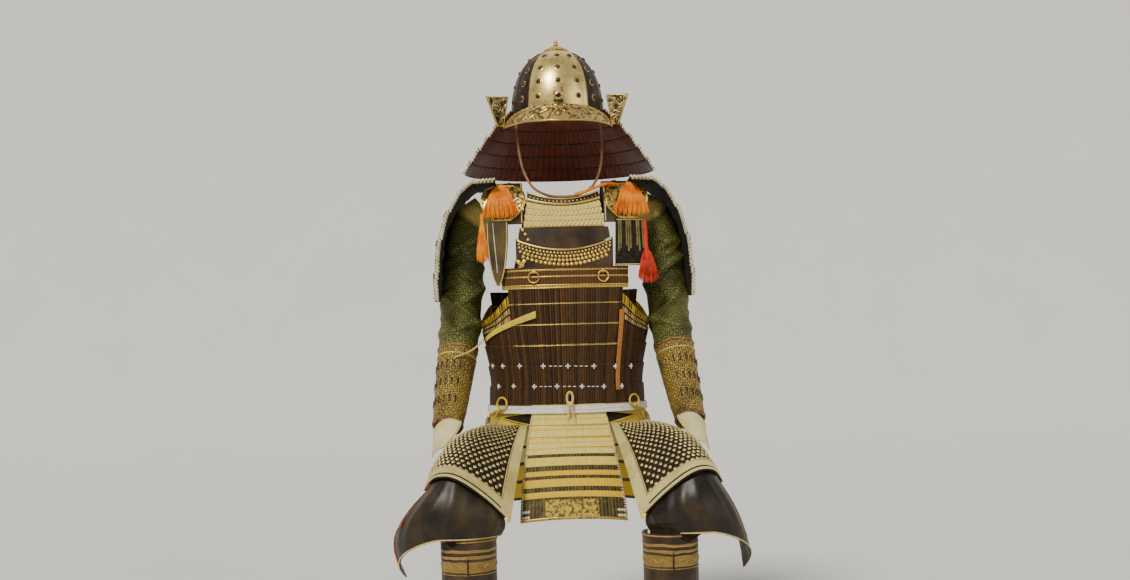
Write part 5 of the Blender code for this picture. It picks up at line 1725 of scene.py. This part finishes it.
def creases(lines: Sequence[tuple[float, float, float, float, float]]) -> Relief:
    """Soft uneven folds across a sleeve.

    Args:
        lines: For each fold its share along, height in mm, half width, slant and the share round it faces.

    Returns:
        The relief by the shares.
    """

    def height(u: np.ndarray, v: np.ndarray) -> np.ndarray:
        """Height of all the folds there."""
        total = np.zeros_like(u)
        for place, rise, half, slant, facing in lines:
            turn = math.tau * (u - facing)
            strength = np.clip(0.35 + 0.65 * np.cos(turn), 0, 1)
            middle = place + slant * np.sin(turn) + 0.012 * np.sin(2 * turn + 9 * place)
            total += rise * MM * strength * np.exp(-(((v - middle) / half) ** 2))
        return total

    return height


@dataclass
class Arms:
    """The folded sleeves, their forearm guards and the hand guards."""

    split: float = 0.70
    arm: tuple[tuple[float, ...], ...] = (
        (0.00, 171.4, 8, 437, 44), (0.12, 208.4, 8, 405, 46), (0.26, 225.4, 8, 345, 46),
        (0.42, 232.4, 10, 270, 46),
        (0.58, 239.4, 6, 185, 45), (0.74, 248, -24, 102, 43), (0.88, 258, -74, 22, 38),
        (1.00, 267, -124, -44, 32),
    )
    folds: tuple[tuple[float, ...], ...] = (
        (0.13, 4.6, 0.020, 0.034, 225), (0.21, 5.8, 0.018, -0.050, 200), (0.29, 4.4, 0.016, 0.056, 215),
        (0.38, 6.6, 0.020, 0.066, 195), (0.46, 5.4, 0.018, -0.056, 220), (0.54, 7.2, 0.018, 0.072, 200),
        (0.61, 6.2, 0.016, -0.040, 210), (0.67, 4.2, 0.012, 0.030, 205),
    )
    hand: tuple[tuple[float, ...], ...] = (
        (0.00, 268, -151.4, -20.3, 31, 16, 12), (0.35, 273, -170.5, -39, 32, 16, 24),
        (0.75, 281, -198, -66, 28, 13, 36), (1.00, 287, -214, -85, 17, 7, 40),
    )

    def sleeve_point(self, u: float, share: float, out: float, folded: bool) -> Vector:
        """A point of the sleeve so far out of its plain tube, in mm."""
        x, y, z, radius = along(self.arm, share)
        ahead = Vector(along(self.arm, min(share + 0.01, 1.0))[:3])
        behind = Vector(along(self.arm, max(share - 0.01, 0.0))[:3])
        way = (ahead - behind).normalized()
        forward = (Vector((0, 1, 0)) - way * way.y).normalized()
        turn = math.tau * (1 - u)
        reach = radius + out
        for place, rise, half, slant, facing in self.folds if folded else ():
            faced = turn - math.radians(facing)
            middle = place + slant * math.sin(faced)
            reach += rise * (0.55 + 0.45 * math.cos(faced)) * math.exp(-(((share - middle) / half) ** 2))
        outward = forward * math.cos(turn) + way.cross(forward) * math.sin(turn)
        return (Vector((x, y, z)) + outward * reach) * MM

    def hand_point(self, u: float, v: float) -> Vector:
        """The hand guard's upper face, an arched plate over the back of the hand."""
        x, y, z, half, crown, tilt = along(self.hand, v)
        s, turn = 2 * u - 1, math.radians(tilt)
        aside, below = half * s, crown * s * s
        return Vector((x + aside * math.cos(turn) - below * math.sin(turn), y,
                       z - aside * math.sin(turn) - below * math.cos(turn))) * MM

    def build_side(self, side: Side) -> None:
        """One arm's pieces."""
        small = creases([
            (0.10, 2.4, 0.020, 0.06, 0.70), (0.17, -1.6, 0.018, -0.05, 0.80), (0.25, 2.8, 0.018, 0.09, 0.76),
            (0.34, 2.2, 0.015, -0.08, 0.68), (0.42, -2.0, 0.018, 0.08, 0.78), (0.50, 3.0, 0.016, 0.10, 0.72),
            (0.58, 2.2, 0.014, -0.07, 0.80), (0.66, -2.0, 0.016, 0.07, 0.70), (0.74, 3.0, 0.015, 0.10, 0.75),
            (0.82, 2.4, 0.013, -0.06, 0.68), (0.90, 2.6, 0.014, 0.06, 0.77), (0.30, 1.6, 0.016, 0.08, 0.30),
            (0.62, 1.6, 0.016, -0.08, 0.25),
        ])
        sleeve = Panel(lambda u, v: self.sleeve_point(u, v * self.split, 0.0, True), 76, 112, 2.2, small,
                       closed=True, side=side)
        cloth = sleeve.build(f"sleeve_cloth_{side.word}", Finish.GREEN_BROCADE, "green_brocade",
                             [f"sleeve_upper_{side.word}"])
        declare_cloth(cloth, sleeve)
        guard = Panel(lambda u, v: self.sleeve_point(u, lerp(self.split + 0.0007, 1.0, v), 1.0, False), 72,
                      44, 2.4, creases([(0.2, 0.8, 0.03, 0.05, 0.3), (0.55, -0.7, 0.03, -0.05, 0.25),
                               (0.8, 0.8, 0.03, 0.04, 0.3)]),
                      closed=True, side=side)
        cloth = guard.build(f"forearm_cloth_{side.word}", Finish.GOLD_BROCADE, "gold_brocade",
                            [f"sleeve_forearm_{side.word}"])
        declare_cloth(cloth, guard)
        for name, v, thick in (("top", 0.03, 1.8), ("band", 0.14, 1.2), ("wrist", 0.97, 1.6)):
            ring_line = edge_line(guard, lambda s, v=v: (s * 0.999, v), 49, 0.3)[:-1]
            tube(f"forearm_{name}_{side.word}", ring_line, thick, Finish.GOLD_SILK if name == "band" else
                 Finish.BROWN_SILK, closed=True)
        splints = []
        for k in range(9):
            splints += [guard.spot(0.46 + 0.055 * k, v, 0.1, 90) for v in (0.30, 0.52, 0.74)]
        copies(f"forearm_splints_{side.word}", bead(17, 3.6, 2.2), splints, Finish.STUD_IRON)
        plate = Panel(self.hand_point, 30, 36, 2.5, lambda u, v: 0.25 * MM * np.sin(u * 60) * np.sin(v * 40),
                      side=side)
        plate.build(f"hand_guard_cloth_{side.word}", Finish.HAND_CLOTH, "white_cloth",
                    [f"hand_guard_{side.word}"])
        for k, u in enumerate((0.04, 0.96)):
            line = edge_line(plate, lambda s, u=u: (u, lerp(0.02, 0.98, s)), 40, 0.1)
            tube(f"hand_guard_rim_{k + 1}_{side.word}", line, 1.1, Finish.GOLD_SILK)
        line = edge_line(plate, lambda s: (lerp(0.04, 0.96, s), 0.03), 30, 0.1)
        tube(f"hand_guard_top_{side.word}", line, 1.4, Finish.BROWN_SILK)

    def build(self) -> None:
        """Both arms."""
        for side in Side:
            self.build_side(side)


@dataclass
class Skirt:
    """The tassets below the waist, the sash with its bow, and the waistband with its ties."""

    lacing_foot: float = -26.0
    lacing_share: float = 0.09
    tassets: tuple[tuple[str, float, float, float, float, float, float, int], ...] = (
        ("tasset_front", -27.2, 27.2, 206, 196, 29, 8, 170),
        ("tasset_side_right", 92, 121, 58, 214, 12, 3, 72),
        ("tasset_side_left", 239, 268, 58, 214, 12, 3, 72),
        ("tasset_back_right", 127, 176, 58, 214, 10, 3, 96),
        ("tasset_back_left", 184, 233, 58, 214, 10, 3, 96),
    )

    def face(self, start: float, end: float, reach: float, drop: float, flare: float, bow: float) -> Surface:
        """A tasset's base face: its lacing hangs down the waist, and its lames then slope outwards."""
        turn = math.radians((start + end) / 2)
        away = Vector((math.sin(turn), -math.cos(turn), 0))
        across = Vector((math.cos(turn), math.sin(turn), 0))

        def point(u: float, v: float) -> Vector:
            """The point."""
            s, angle = 2 * u - 1, lerp(start, end, u)
            if v <= self.lacing_share:
                return body_point(angle, lerp(-0.45, self.lacing_foot, v / self.lacing_share), -1.5)
            t = (v - self.lacing_share) / (1 - self.lacing_share)
            at = body_point(angle, self.lacing_foot, -1.5) + away * reach * t**0.95 * MM
            at += across * s * flare * (0.35 * t + 0.65 * math.sin(math.pi / 2 * t)) * MM
            return at - Vector((0, 0, drop * t**1.05 + bow * s * s * t)) * MM

        return point

    def build_tasset(self, name: str, start: float, end: float, reach: float, drop: float, flare: float,
                     bow: float, columns: int) -> None:
        """One tasset with its gilt lines and its edge braid."""
        edges = [lerp(self.lacing_share + 0.025, 1.0, k / 5) for k in range(5)]
        steps = saw(edges, 2.8 * MM, 0.010)
        panel = Panel(self.face(start, end, reach, drop, flare, bow), columns, lame_rows(edges, 0.010, 9),
                      3.4, lift=1.0)
        width = panel.cut_size()[0]
        panel.relief = lambda u, v: steps(u, v) + 0.45 * MM * (
            0.5 + 0.5 * np.cos(u * width / (6.5 * MM) * math.tau)) - 0.45 * MM
        front = name == "tasset_front"
        panel.build(f"{name}_lames", Finish.TASSET if front else Finish.PLAIN_TASSET, "yellow_lacing", [name])
        braid = []
        for u in (0.012, 0.988):
            braid += edge_places(panel, lambda s, u=u: (u, lerp(0.12, 0.985, s)), 6.6, 0.1, 30)
        copies(f"{name}_braid", bead(5.4, 3.0, 2.4), braid, Finish.PALE_SILK)
        line = edge_line(panel, lambda s: (lerp(0.01, 0.99, s), 0.990), 60, 0.1)
        tube(f"{name}_foot_line", line, 1.4, Finish.GILT)
        if not front:
            return
        for k, v in enumerate((0.200, 0.315, 0.398)):
            line = edge_line(panel, lambda s, v=v: (lerp(0.02, 0.98, s), v), 60, 0.0)
            tube(f"tasset_front_line_{k + 1}", line, 0.9, Finish.GILT)
        corners = [panel.spot(u, v, 0.2, 45) for v in (0.93, 0.972)
                   for u in (0.03, 0.055, 0.08, 0.92, 0.945, 0.97)]
        copies("tasset_front_corners", bead(6.0, 6.0, 1.8), corners, Finish.PALE_SILK)

    def build_sash(self) -> None:
        """The white sash round the waist and the waistband under it."""

        def wrinkles(u: np.ndarray, v: np.ndarray) -> np.ndarray:
            """Long creases round the sash."""
            lean = v + 0.16 * np.sin(math.tau * 3 * u) + 0.07 * np.sin(math.tau * 11 * u + 1)
            waves = 0.55 * np.sin(math.tau * 2.1 * lean) + 0.25 * np.sin(math.tau * 5.2 * lean + 2)
            return MM * waves * np.sin(np.pi * v)

        sash = Panel(lambda u, v: body_point(360 * u, lerp(-2.5, -19, v), 3.8), 200, 12, 2.6, wrinkles,
                     closed=True)
        cloth = sash.build("sash_cloth", Finish.WHITE_CLOTH, "white_cloth", ["waist_sash"])
        declare_cloth(cloth, sash)
        band = Panel(lambda u, v: body_point(360 * u, lerp(14, -45, v), -5.0), 180, 16, 2.2,
                     lambda u, v: MM * 0.3 * np.sin(math.tau * 24 * u) * np.sin(np.pi * v), closed=True)
        cloth = band.build("waistband_cloth", Finish.YELLOW_CLOTH, "gold_brocade", ["thigh_guard_band"])
        declare_cloth(cloth, band)

    def build_diamonds(self) -> None:
        """The dark lozenges on the waistband beside the front tasset, each edged with yellow cord."""
        for side in Side:
            reach = lambda v: 30.0 * min(v / 0.42, (1 - v) / 0.58) + 0.8
            patch = Panel(lambda u, v: body_point(27.6 + reach(v) * u, lerp(-17.5, -44.5, v), -4.6), 24, 24,
                          0.8, lambda u, v: 0.15 * MM * np.sin(9 * u + 7 * v), side=side, lift=1.4)
            patch.build(f"waist_lozenge_{side.word}", Finish.BLACK_CLOTH, "gold_brocade")
            for k, u in enumerate((0.0, 1.0)):
                line = edge_line(patch, lambda s, u=u: (u, lerp(0.01, 0.99, s)), 21, 0.2)
                tube(f"waist_lozenge_edge_{k + 1}_{side.word}", line, 1.3, Finish.YELLOW_SILK)

    def build_bow(self) -> None:
        """The bow's knot and its upright loop; its tails are cords."""
        knot = Matrix.Translation(Vector((2.4, -138.4, -4.0)) * MM)
        copies("bow_knot", bead(13, 8, 11), [knot @ Matrix.Rotation(math.radians(6), 4, "Y")],
               Finish.GOLD_SILK)
        points = []
        for i in range(32):
            t = i / 32 * math.tau
            points.append(Vector((2.4 + 7.4 * math.sin(t) * (0.55 + 0.45 * math.sin(t / 2)),
                                  -138.6 + 1.4 * math.sin(t / 2), 12.0 - 15.0 * math.cos(t))) * MM)
        tube("bow_loop", points, 2.6, Finish.GOLD_SILK, closed=True)

    def build_ties(self) -> None:
        """The yellow ties at the waist that the thigh guards hang from: a loop, a knot and two short ends."""
        for side in Side:
            over = lambda angle, height, out: self.mirrored(body_point(angle, height, out), side)
            loop = [over(53 + 5.5 * math.sin(t), 3 - 13 * math.cos(t), 8.5)
                    for t in np.linspace(0, math.tau, 25)[:-1]]
            tube(f"waist_tie_loop_{side.word}", loop, 2.2, Finish.YELLOW_SILK, closed=True)
            spin = Matrix.Rotation(math.radians(50 * side.value), 4, "Z")
            at = Matrix.Translation(over(53, -12, 8.5)) @ spin
            copies(f"waist_tie_knot_{side.word}", bead(12, 9, 9), [at], Finish.YELLOW_SILK)
            for k, (turn, drop) in enumerate(((11.0, 22.0), (21.0, 16.0))):
                end = [over(53 + turn * t, -12 - drop * t * t, 8.5 - 5.0 * t) for t in np.linspace(0, 1, 12)]
                tube(f"waist_tie_end_{k + 1}_{side.word}", end, 2.4, Finish.YELLOW_SILK)

    @staticmethod
    def mirrored(point: Vector, side: Side) -> Vector:
        """The right side's point on the given side."""
        return Vector((point.x * side.value, point.y, point.z))

    def build(self) -> None:
        """Every piece below the waist but the legs."""
        for row in self.tassets:
            self.build_tasset(*row)
        self.build_sash()
        self.build_diamonds()
        self.build_ties()
        self.build_bow()


@dataclass
class Legs:
    """The thigh guards with their small plates, the lined knee guards and the shin guards."""

    shin_right: float = 189.0
    shin_left: float = 214.0
    shin_y: float = -397.0
    shin_top: float = -243.0
    shin_foot: float = -585.0
    spread: float = 128.0
    knee_edge: tuple[tuple[float, ...], ...] = (
        (-1.0, 130, -418, -212), (-0.5, 180, -444, -160), (0.0, 234, -452, -122), (0.5, 276, -424, -122),
        (1.0, 303, -360, -153),
    )

    def thigh_point(self, u: float, v: float) -> Vector:
        """The thigh guard's upper face, from the waist forwards over the thigh to the knee."""
        s = 2 * u - 1
        waist = body_point(lerp(31.0, 92.0, u), -45.4, -5) / MM
        point = waist.lerp(Vector(along(self.knee_edge, s)), v)
        crown = math.sin(math.pi * v)
        point.z += 26 * crown * (1 - 0.55 * s * s)
        point.x += 30 * crown * u**1.5
        return point * MM

    def thigh_inside(self, u: float, v: float, depth: float) -> Vector:
        """The thigh guard's face moved inwards, in mm."""
        step = 1e-3
        across = self.thigh_point(min(u + step, 1.0), v) - self.thigh_point(max(u - step, 0.0), v)
        down = self.thigh_point(u, min(v + step, 1.0)) - self.thigh_point(u, max(v - step, 0.0))
        return self.thigh_point(u, v) - down.cross(across).normalized() * depth * MM

    def knee_point(self, u: float, v: float, wing_bulge: float) -> Vector:
        """The knee guard's outer face, from under the thigh guard down to the shin guard and outwards."""
        top = self.thigh_inside(lerp(1 / 12, 1.0, u), 0.968, 5.2) / MM
        turn = math.radians(lerp(-68, 112, u))
        half = 94 if turn < 0 else 122
        wing = max(0.0, (u - 0.46) / 0.54)
        foot = Vector((235 + half * math.sin(turn), -352 - 104 * math.cos(turn),
                       self.shin_top + 0.4 - 92 * wing**1.4))
        bulge = 20 * (0.45 + 0.55 * math.sin(math.pi * min(u * 1.2, 1))) * math.sin(math.pi * v)
        bulge += wing_bulge * wing * math.sin(math.pi * max(0.0, (v - 0.17) / 0.83))
        return (top.lerp(foot, v) + Vector((math.sin(turn), -math.cos(turn), 0)) * bulge) * MM

    def shin_point(self, u: float, v: float, middle: float) -> Vector:
        """The shin guard's outer face, open down the calf."""
        turn = math.radians(lerp(-self.spread, self.spread, u))
        reach = lerp(56, 43, v) + 3 * math.sin(math.pi * v) + 1.5 * math.exp(-((turn / 0.14) ** 2))
        return Vector((middle + reach * math.sin(turn), self.shin_y - reach * math.cos(turn),
                       lerp(self.shin_top, self.shin_foot, v))) * MM

    def build_thigh(self, side: Side) -> None:
        """A thigh guard: its cloth, its border and its rows of small plates."""

        def soft(u: np.ndarray, v: np.ndarray) -> np.ndarray:
            """Soft dips between the quilted rows."""
            ridges = 0.35 * np.sin(math.tau * 17 * v) * np.clip(v * 6, 0, 1)
            return MM * (ridges + 0.4 * np.sin(math.tau * (2 * u + v)))

        guard = Panel(self.thigh_point, 60, 90, 3.8, soft, side=side)
        cloth = guard.build(f"thigh_cloth_{side.word}", Finish.BLACK_CLOTH, "studded_black",
                            [f"thigh_guard_{side.word}"])
        declare_cloth(cloth, guard)
        strips = {
            "inner": (0.0, 0.095, 0.0, 1.0), "foot": (0.095, 1.0, 0.905, 0.962),
            "edge": (0.095, 1.0, 0.978, 1.0), "outer": (0.955, 1.0, 0.0, 0.905),
        }
        for name, (left, right, top, low) in strips.items():
            strip = Panel(lambda u, v, a=(left, right, top, low): self.thigh_point(lerp(a[0], a[1], u),
                                                                                   lerp(a[2], a[3], v)),
                          max(8, int(70 * (right - left))), max(6, int(100 * (low - top))), 1.0,
                          lambda u, v: 0.3 * MM * np.sin(np.pi * u) * np.sin(np.pi * v), side=side, lift=1.5)
            strip.build(f"thigh_border_{name}_{side.word}", Finish.BORDER_BROCADE, "studded_black")
        places = []
        rows, columns = 23, 14
        for k in range(rows):
            v = lerp(0.020, 0.885, k / (rows - 1))
            shift = 0.5 * (k % 2)
            for i in range(columns):
                u = lerp(0.120, 0.945, (i + 0.25 + shift) / columns)
                if u < 0.945:
                    longer = Matrix.Diagonal((1.0, lerp(1.5, 1.2, v), 1.0, 1.0))
                    places.append(guard.spot(u, v, 0.2, scale=lerp(0.84, 1.06, v)) @ longer)
        copies(f"thigh_plates_{side.word}", dome(3.8, 1.9, 12), places, Finish.PALE_PLATES)
        for name, line in (
            ("inner", edge_line(guard, lambda s: (0.103, lerp(0.01, 0.90, s)), 70, 0.6)),
            ("foot", edge_line(guard, lambda s: (lerp(0.103, 0.95, s), 0.898), 50, 0.6)),
        ):
            tube(f"thigh_cord_{name}_{side.word}", line, 1.1, Finish.GOLD_SILK)
        tips = [Matrix.Translation((0, -1 * MM, -5 * MM)) @ guard.spot(0.03, 0.99, 0.0, scale=1.3)]
        copies(f"thigh_tip_{side.word}", dome(5.6, 4.6, 14), tips, Finish.YELLOW_CLOTH)

    def build_knee(self, side: Side) -> None:
        """A knee guard with its rims and ridges, and a red binding on the left one."""
        bulge = 0.0 if side is Side.RIGHT else 30.0
        ridge = lambda u, v: MM * (0.9 * np.exp(-(((v - 0.72 - 0.10 * u) / 0.03) ** 2))
                                   + 1.1 * np.sin(np.pi * v) * np.cos(math.tau * 9 * u + 0.8 * np.sin(5 * v)))
        knee = Panel(lambda u, v: self.knee_point(u, v, bulge), 80, 40, 3.0, ridge, side=side)
        knee.build(f"knee_plate_{side.word}", Finish.KNEE_LEATHER, "brown_leather",
                   [f"knee_guard_{side.word}"])
        line = edge_line(knee, lambda s: (lerp(0.93, 0.87, s), lerp(0.03, 0.985, s)), 50, 0.2)
        tube(f"knee_outer_rim_{side.word}", line, 1.9,
             Finish.PALE_SILK if side is Side.RIGHT else Finish.RED_CORD)
        if side is Side.LEFT:
            binding = Panel(lambda u, v: self.knee_point(lerp(0.79 - 0.03 * v, 0.91 - 0.05 * v, u),
                                                         lerp(0.03, 0.60, v), bulge), 14, 40, 0.8,
                            lambda u, v: 0.4 * MM * np.sin(np.pi * u) + 0.3 * MM * np.sin(v * 90), side=side,
                            lift=2.4)
            binding.build("knee_red_binding", Finish.RED_CORD, "brown_leather")
        line = edge_line(knee, lambda s: (lerp(0.985, 0.01, s), 0.985), 70, 0.2)
        tube(f"knee_foot_rim_{side.word}", line, 1.4, Finish.GOLD_SILK)

    def build_lining(self, side: Side, middle: float) -> None:
        """The dark padding from inside the knee guard down into the shin guard."""

        def inner(u: float, v: float) -> Vector:
            """Its outer face."""
            turn = math.radians(lerp(-66, 27, u))
            away = Vector((math.sin(turn), -math.cos(turn), 0))
            top = self.knee_point((math.degrees(turn) + 68) / 180, 0.80, 0.0) - away * 7 * MM
            low = Vector((middle, self.shin_y, self.shin_top - 24)) * MM + away * 50.5 * MM
            return top.lerp(low, v)

        lining = Panel(inner, 30, 14, 1.6, lambda u, v: 0.4 * MM * np.sin(math.tau * 7 * u), side=side)
        lining.build(f"knee_lining_{side.word}", Finish.LINING, "brown_leather")

    def build_shin(self, side: Side) -> None:
        """A shin guard over its lining, with its lines, wavy cord, middle mark and rims."""
        middle = self.shin_right if side is Side.RIGHT else self.shin_left
        self.build_lining(side, middle)
        splints = lambda u, v: 0.5 * MM * np.exp(-(((u * 16 % 1 - 0.5) / 0.10) ** 2)) * (v > 0.2)
        shin = Panel(lambda u, v: self.shin_point(u, v, middle), 128, 30, 3.0, splints, side=side)
        shin.build(f"shin_plate_{side.word}", Finish.SHIN_LEATHER, "brown_leather",
                   [f"shin_guard_{side.word}"])
        for k, (v,
                radius) in enumerate(((0.012, 1.6), (0.063, 0.9), (0.100, 0.9), (0.200, 0.9), (0.985, 1.6))):
            line = edge_line(shin, lambda s, v=v: (lerp(0.012, 0.988, s), v), 70, 0.0)
            tube(f"shin_line_{k + 1}_{side.word}", line, radius, Finish.DULL_GOLD_SILK)
        wavy = edge_line(shin, lambda s: (lerp(0.10, 0.90, s), 0.155 + 0.010 * math.sin(s * 60)), 160, 0.0)
        tube(f"shin_wave_{side.word}", wavy, 1.3, Finish.DULL_GOLD_SILK)
        middle_line = edge_line(shin, lambda s: (0.5, lerp(0.105, 0.20, s)), 12, 1.0)
        tube(f"shin_mark_{side.word}", middle_line, 1.6, Finish.STUD_IRON)
        for k, u in enumerate((0.012, 0.988)):
            line = edge_line(shin, lambda s, u=u: (u, lerp(0.012, 0.985, s)), 50, 0.0)
            tube(f"shin_side_rim_{k + 1}_{side.word}", line, 1.3, Finish.BROWN_SILK)

    def build(self) -> None:
        """Both legs."""
        for side in Side:
            self.build_thigh(side)
            self.build_knee(side)
            self.build_shin(side)


# ---------------------------------------------------------------- cords, studio and the whole


@dataclass
class Cords:
    """The free cords, each along the CAD's own route; points are in metres."""

    chin: tuple[tuple[float, float, float], ...] = (
        (-0.1010, -0.020, 0.668), (-0.1008, -0.026, 0.640), (-0.0985, -0.040, 0.604),
        (-0.0945, -0.062, 0.560),
        (-0.0845, -0.085, 0.515), (-0.0660, -0.102, 0.4805), (-0.0420, -0.1095, 0.4648),
        (-0.0200, -0.1120, 0.4585),
        (0.0200, -0.1120, 0.4585), (0.0420, -0.1095, 0.4648), (0.0660, -0.102, 0.4805),
        (0.0835, -0.085, 0.515),
        (0.0905, -0.062, 0.560), (0.0915, -0.040, 0.604), (0.0912, -0.026, 0.640), (0.0910, -0.020, 0.668),
    )
    tail: tuple[tuple[float, float, float], ...] = (
        (0.026, -0.1190, 0.4632), (0.048, -0.1175, 0.4670), (0.066, -0.1135, 0.4740),
        (0.082, -0.1065, 0.4810),
        (0.098, -0.0935, 0.4860), (0.111, -0.0798, 0.4868), (0.122, -0.0686, 0.4858),
    )
    side: tuple[tuple[float, float, float], ...] = (
        (-0.1856, -0.0440, 0.1455), (-0.197, -0.0520, 0.134), (-0.209, -0.0600, 0.125),
        (-0.222, -0.0680, 0.118), (-0.236, -0.0722, 0.113), (-0.250, -0.0734, 0.108),
    )
    bow_right: tuple[tuple[float, float, float], ...] = (
        (0.0045, -0.1385, -0.003), (0.0085, -0.1400, -0.018), (0.0125, -0.1450, -0.034),
        (0.0165, -0.1540, -0.050), (0.0196, -0.1630, -0.064),
    )
    bow_left: tuple[tuple[float, float, float], ...] = (
        (0.0005, -0.1385, -0.003), (-0.0015, -0.1400, -0.018), (-0.0028, -0.1450, -0.034),
        (-0.0038, -0.1540, -0.050), (-0.0042, -0.1620, -0.062),
    )

    def lay(self, name: str, route: Sequence[tuple[float, float, float]], diameter: float, samples: int,
            finish: Finish,
            nodes: Iterable[str] = ()) -> bpy.types.Object:
        """Lays a cord along a smooth curve through its route.

        Args:
            name: The cord's name.
            route: Its route's points.
            diameter: Its thickness in mm.
            samples: Points along it.
            finish: Its finish.
            nodes: CAD nodes that it replaces.

        Returns:
            The cord.
        """
        rows = [(i / (len(route) - 1), *point) for i, point in enumerate(route)]
        points = [Vector(along(rows, k / (samples - 1))) for k in range(samples)]
        curve = bpy.data.curves.new(name, "CURVE")
        curve.dimensions = "3D"
        curve.bevel_depth = diameter / 2 * MM
        curve.bevel_resolution = 4
        curve.use_fill_caps = True
        spline = curve.splines.new("POLY")
        spline.points.add(samples - 1)
        for target, point in zip(spline.points, points):
            target.co = (*point, 1.0)
        piece = bpy.data.objects.new(name, curve)
        bpy.context.scene.collection.objects.link(piece)
        dress(piece, name, finish, nodes)
        return piece

    def build(self) -> None:
        """Every cord."""
        self.lay("helmet_chin_cord", self.chin, 6, 34, Finish.BROWN_SILK,
                 ["chin_cord"])
        self.lay("helmet_chin_cord_tail", self.tail, 7, 12, Finish.ORANGE_SILK,
                 ["chin_cord_tail"])
        self.lay("side_tie_cord", self.side, 4, 12, Finish.GOLD_SILK,
                 ["side_cord"])
        self.lay("bow_tail_right", self.bow_right, 4.6, 14, Finish.GOLD_SILK)
        self.lay("bow_tail_left", self.bow_left, 4.6, 14, Finish.GOLD_SILK)


@dataclass
class Studio:
    """The pale floor, the soft lights and the camera at the photo's angle."""

    place: tuple[float, float, float] = (-0.0795, -3.2499, 0.1716)
    yaw: float = -1.428
    pitch: float = 1.452
    roll: float = 1.524
    lens: float = 45.3

    def camera(self) -> None:
        """The camera."""
        data = bpy.data.cameras.new("camera")
        data.lens = self.lens
        data.sensor_width = 36.0
        data.sensor_fit = "HORIZONTAL"
        camera = bpy.data.objects.new("camera", data)
        bpy.context.scene.collection.objects.link(camera)
        turn = Matrix.Rotation(math.radians(self.yaw), 3, "Z") @ Matrix.Rotation(math.radians(self.pitch), 3,
                                                                                 "X")
        turn = turn @ Matrix.Rotation(math.radians(self.roll), 3, "Y") @ Matrix.Rotation(math.pi / 2, 3, "X")
        camera.matrix_world = Matrix.Translation(self.place) @ turn.to_4x4()
        bpy.context.scene.camera = camera

    def sun(self, name: str, towards: Vector, spread: float, power: float, colour: Colour) -> None:
        """A soft sun that shines that way; spread is in degrees."""
        data = bpy.data.lights.new(name, "SUN")
        data.angle = math.radians(spread)
        data.energy = power
        data.color = colour
        lamp = bpy.data.objects.new(name, data)
        bpy.context.scene.collection.objects.link(lamp)
        lamp.rotation_euler = towards.to_track_quat("-Z", "Y").to_euler()

    def floor(self) -> None:
        """The floor and a backdrop far behind it."""
        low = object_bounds()[0][2]
        paint = Paint("studio_floor", 0.9)
        pale = paint.ramp(paint.noise(paint.place(), 1.5),
                          [(0.2, (0.70, 0.69, 0.67)), (0.8, (0.73, 0.72, 0.70))])
        paint.done(pale)
        for name, place, tilt in (("studio_floor", (0, 0, low), 0.0),
                                  ("studio_backdrop", (0, 9, 0), math.pi / 2)):
            deselect()
            bpy.ops.mesh.primitive_plane_add(size=60, location=place, rotation=(tilt, 0, 0))
            ground = bpy.context.active_object
            ground.name = name
            ground.data.materials.append(paint.material)
            ground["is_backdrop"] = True

    def build(self) -> None:
        """Everything round the armour but its camera."""
        self.floor()
        world = bpy.context.scene.world or bpy.data.worlds.new("studio")
        bpy.context.scene.world = world
        world.use_nodes = True
        world.node_tree.nodes["Background"].inputs[0].default_value = (0.92, 0.93, 0.95, 1.0)
        world.node_tree.nodes["Background"].inputs[1].default_value = 0.34
        self.sun("key", Vector((0.40, 0.72, -0.85)), 14, 3.1, (1.0, 0.96, 0.88))
        self.sun("fill", Vector((-0.75, 0.60, -0.25)), 40, 0.55, (1.0, 0.98, 0.95))
        self.sun("back", Vector((-0.3, -0.8, -0.6)), 40, 0.8, (1.0, 0.99, 0.97))


def main() -> None:
    """Builds the armour's pieces in order."""
    logging.basicConfig(level=logging.INFO, format="%(name)s: %(message)s")
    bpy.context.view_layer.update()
    studio = Studio()
    studio.camera()
    Cords().build()
    for assembly in (Helmet(), Cuirass(), Shoulders(), ShoulderGuards(), Arms(), Skirt(), Legs()):
        LOG.info("%s", type(assembly).__name__)
        assembly.build()
    studio.build()


if __name__ == "__main__":
    main()
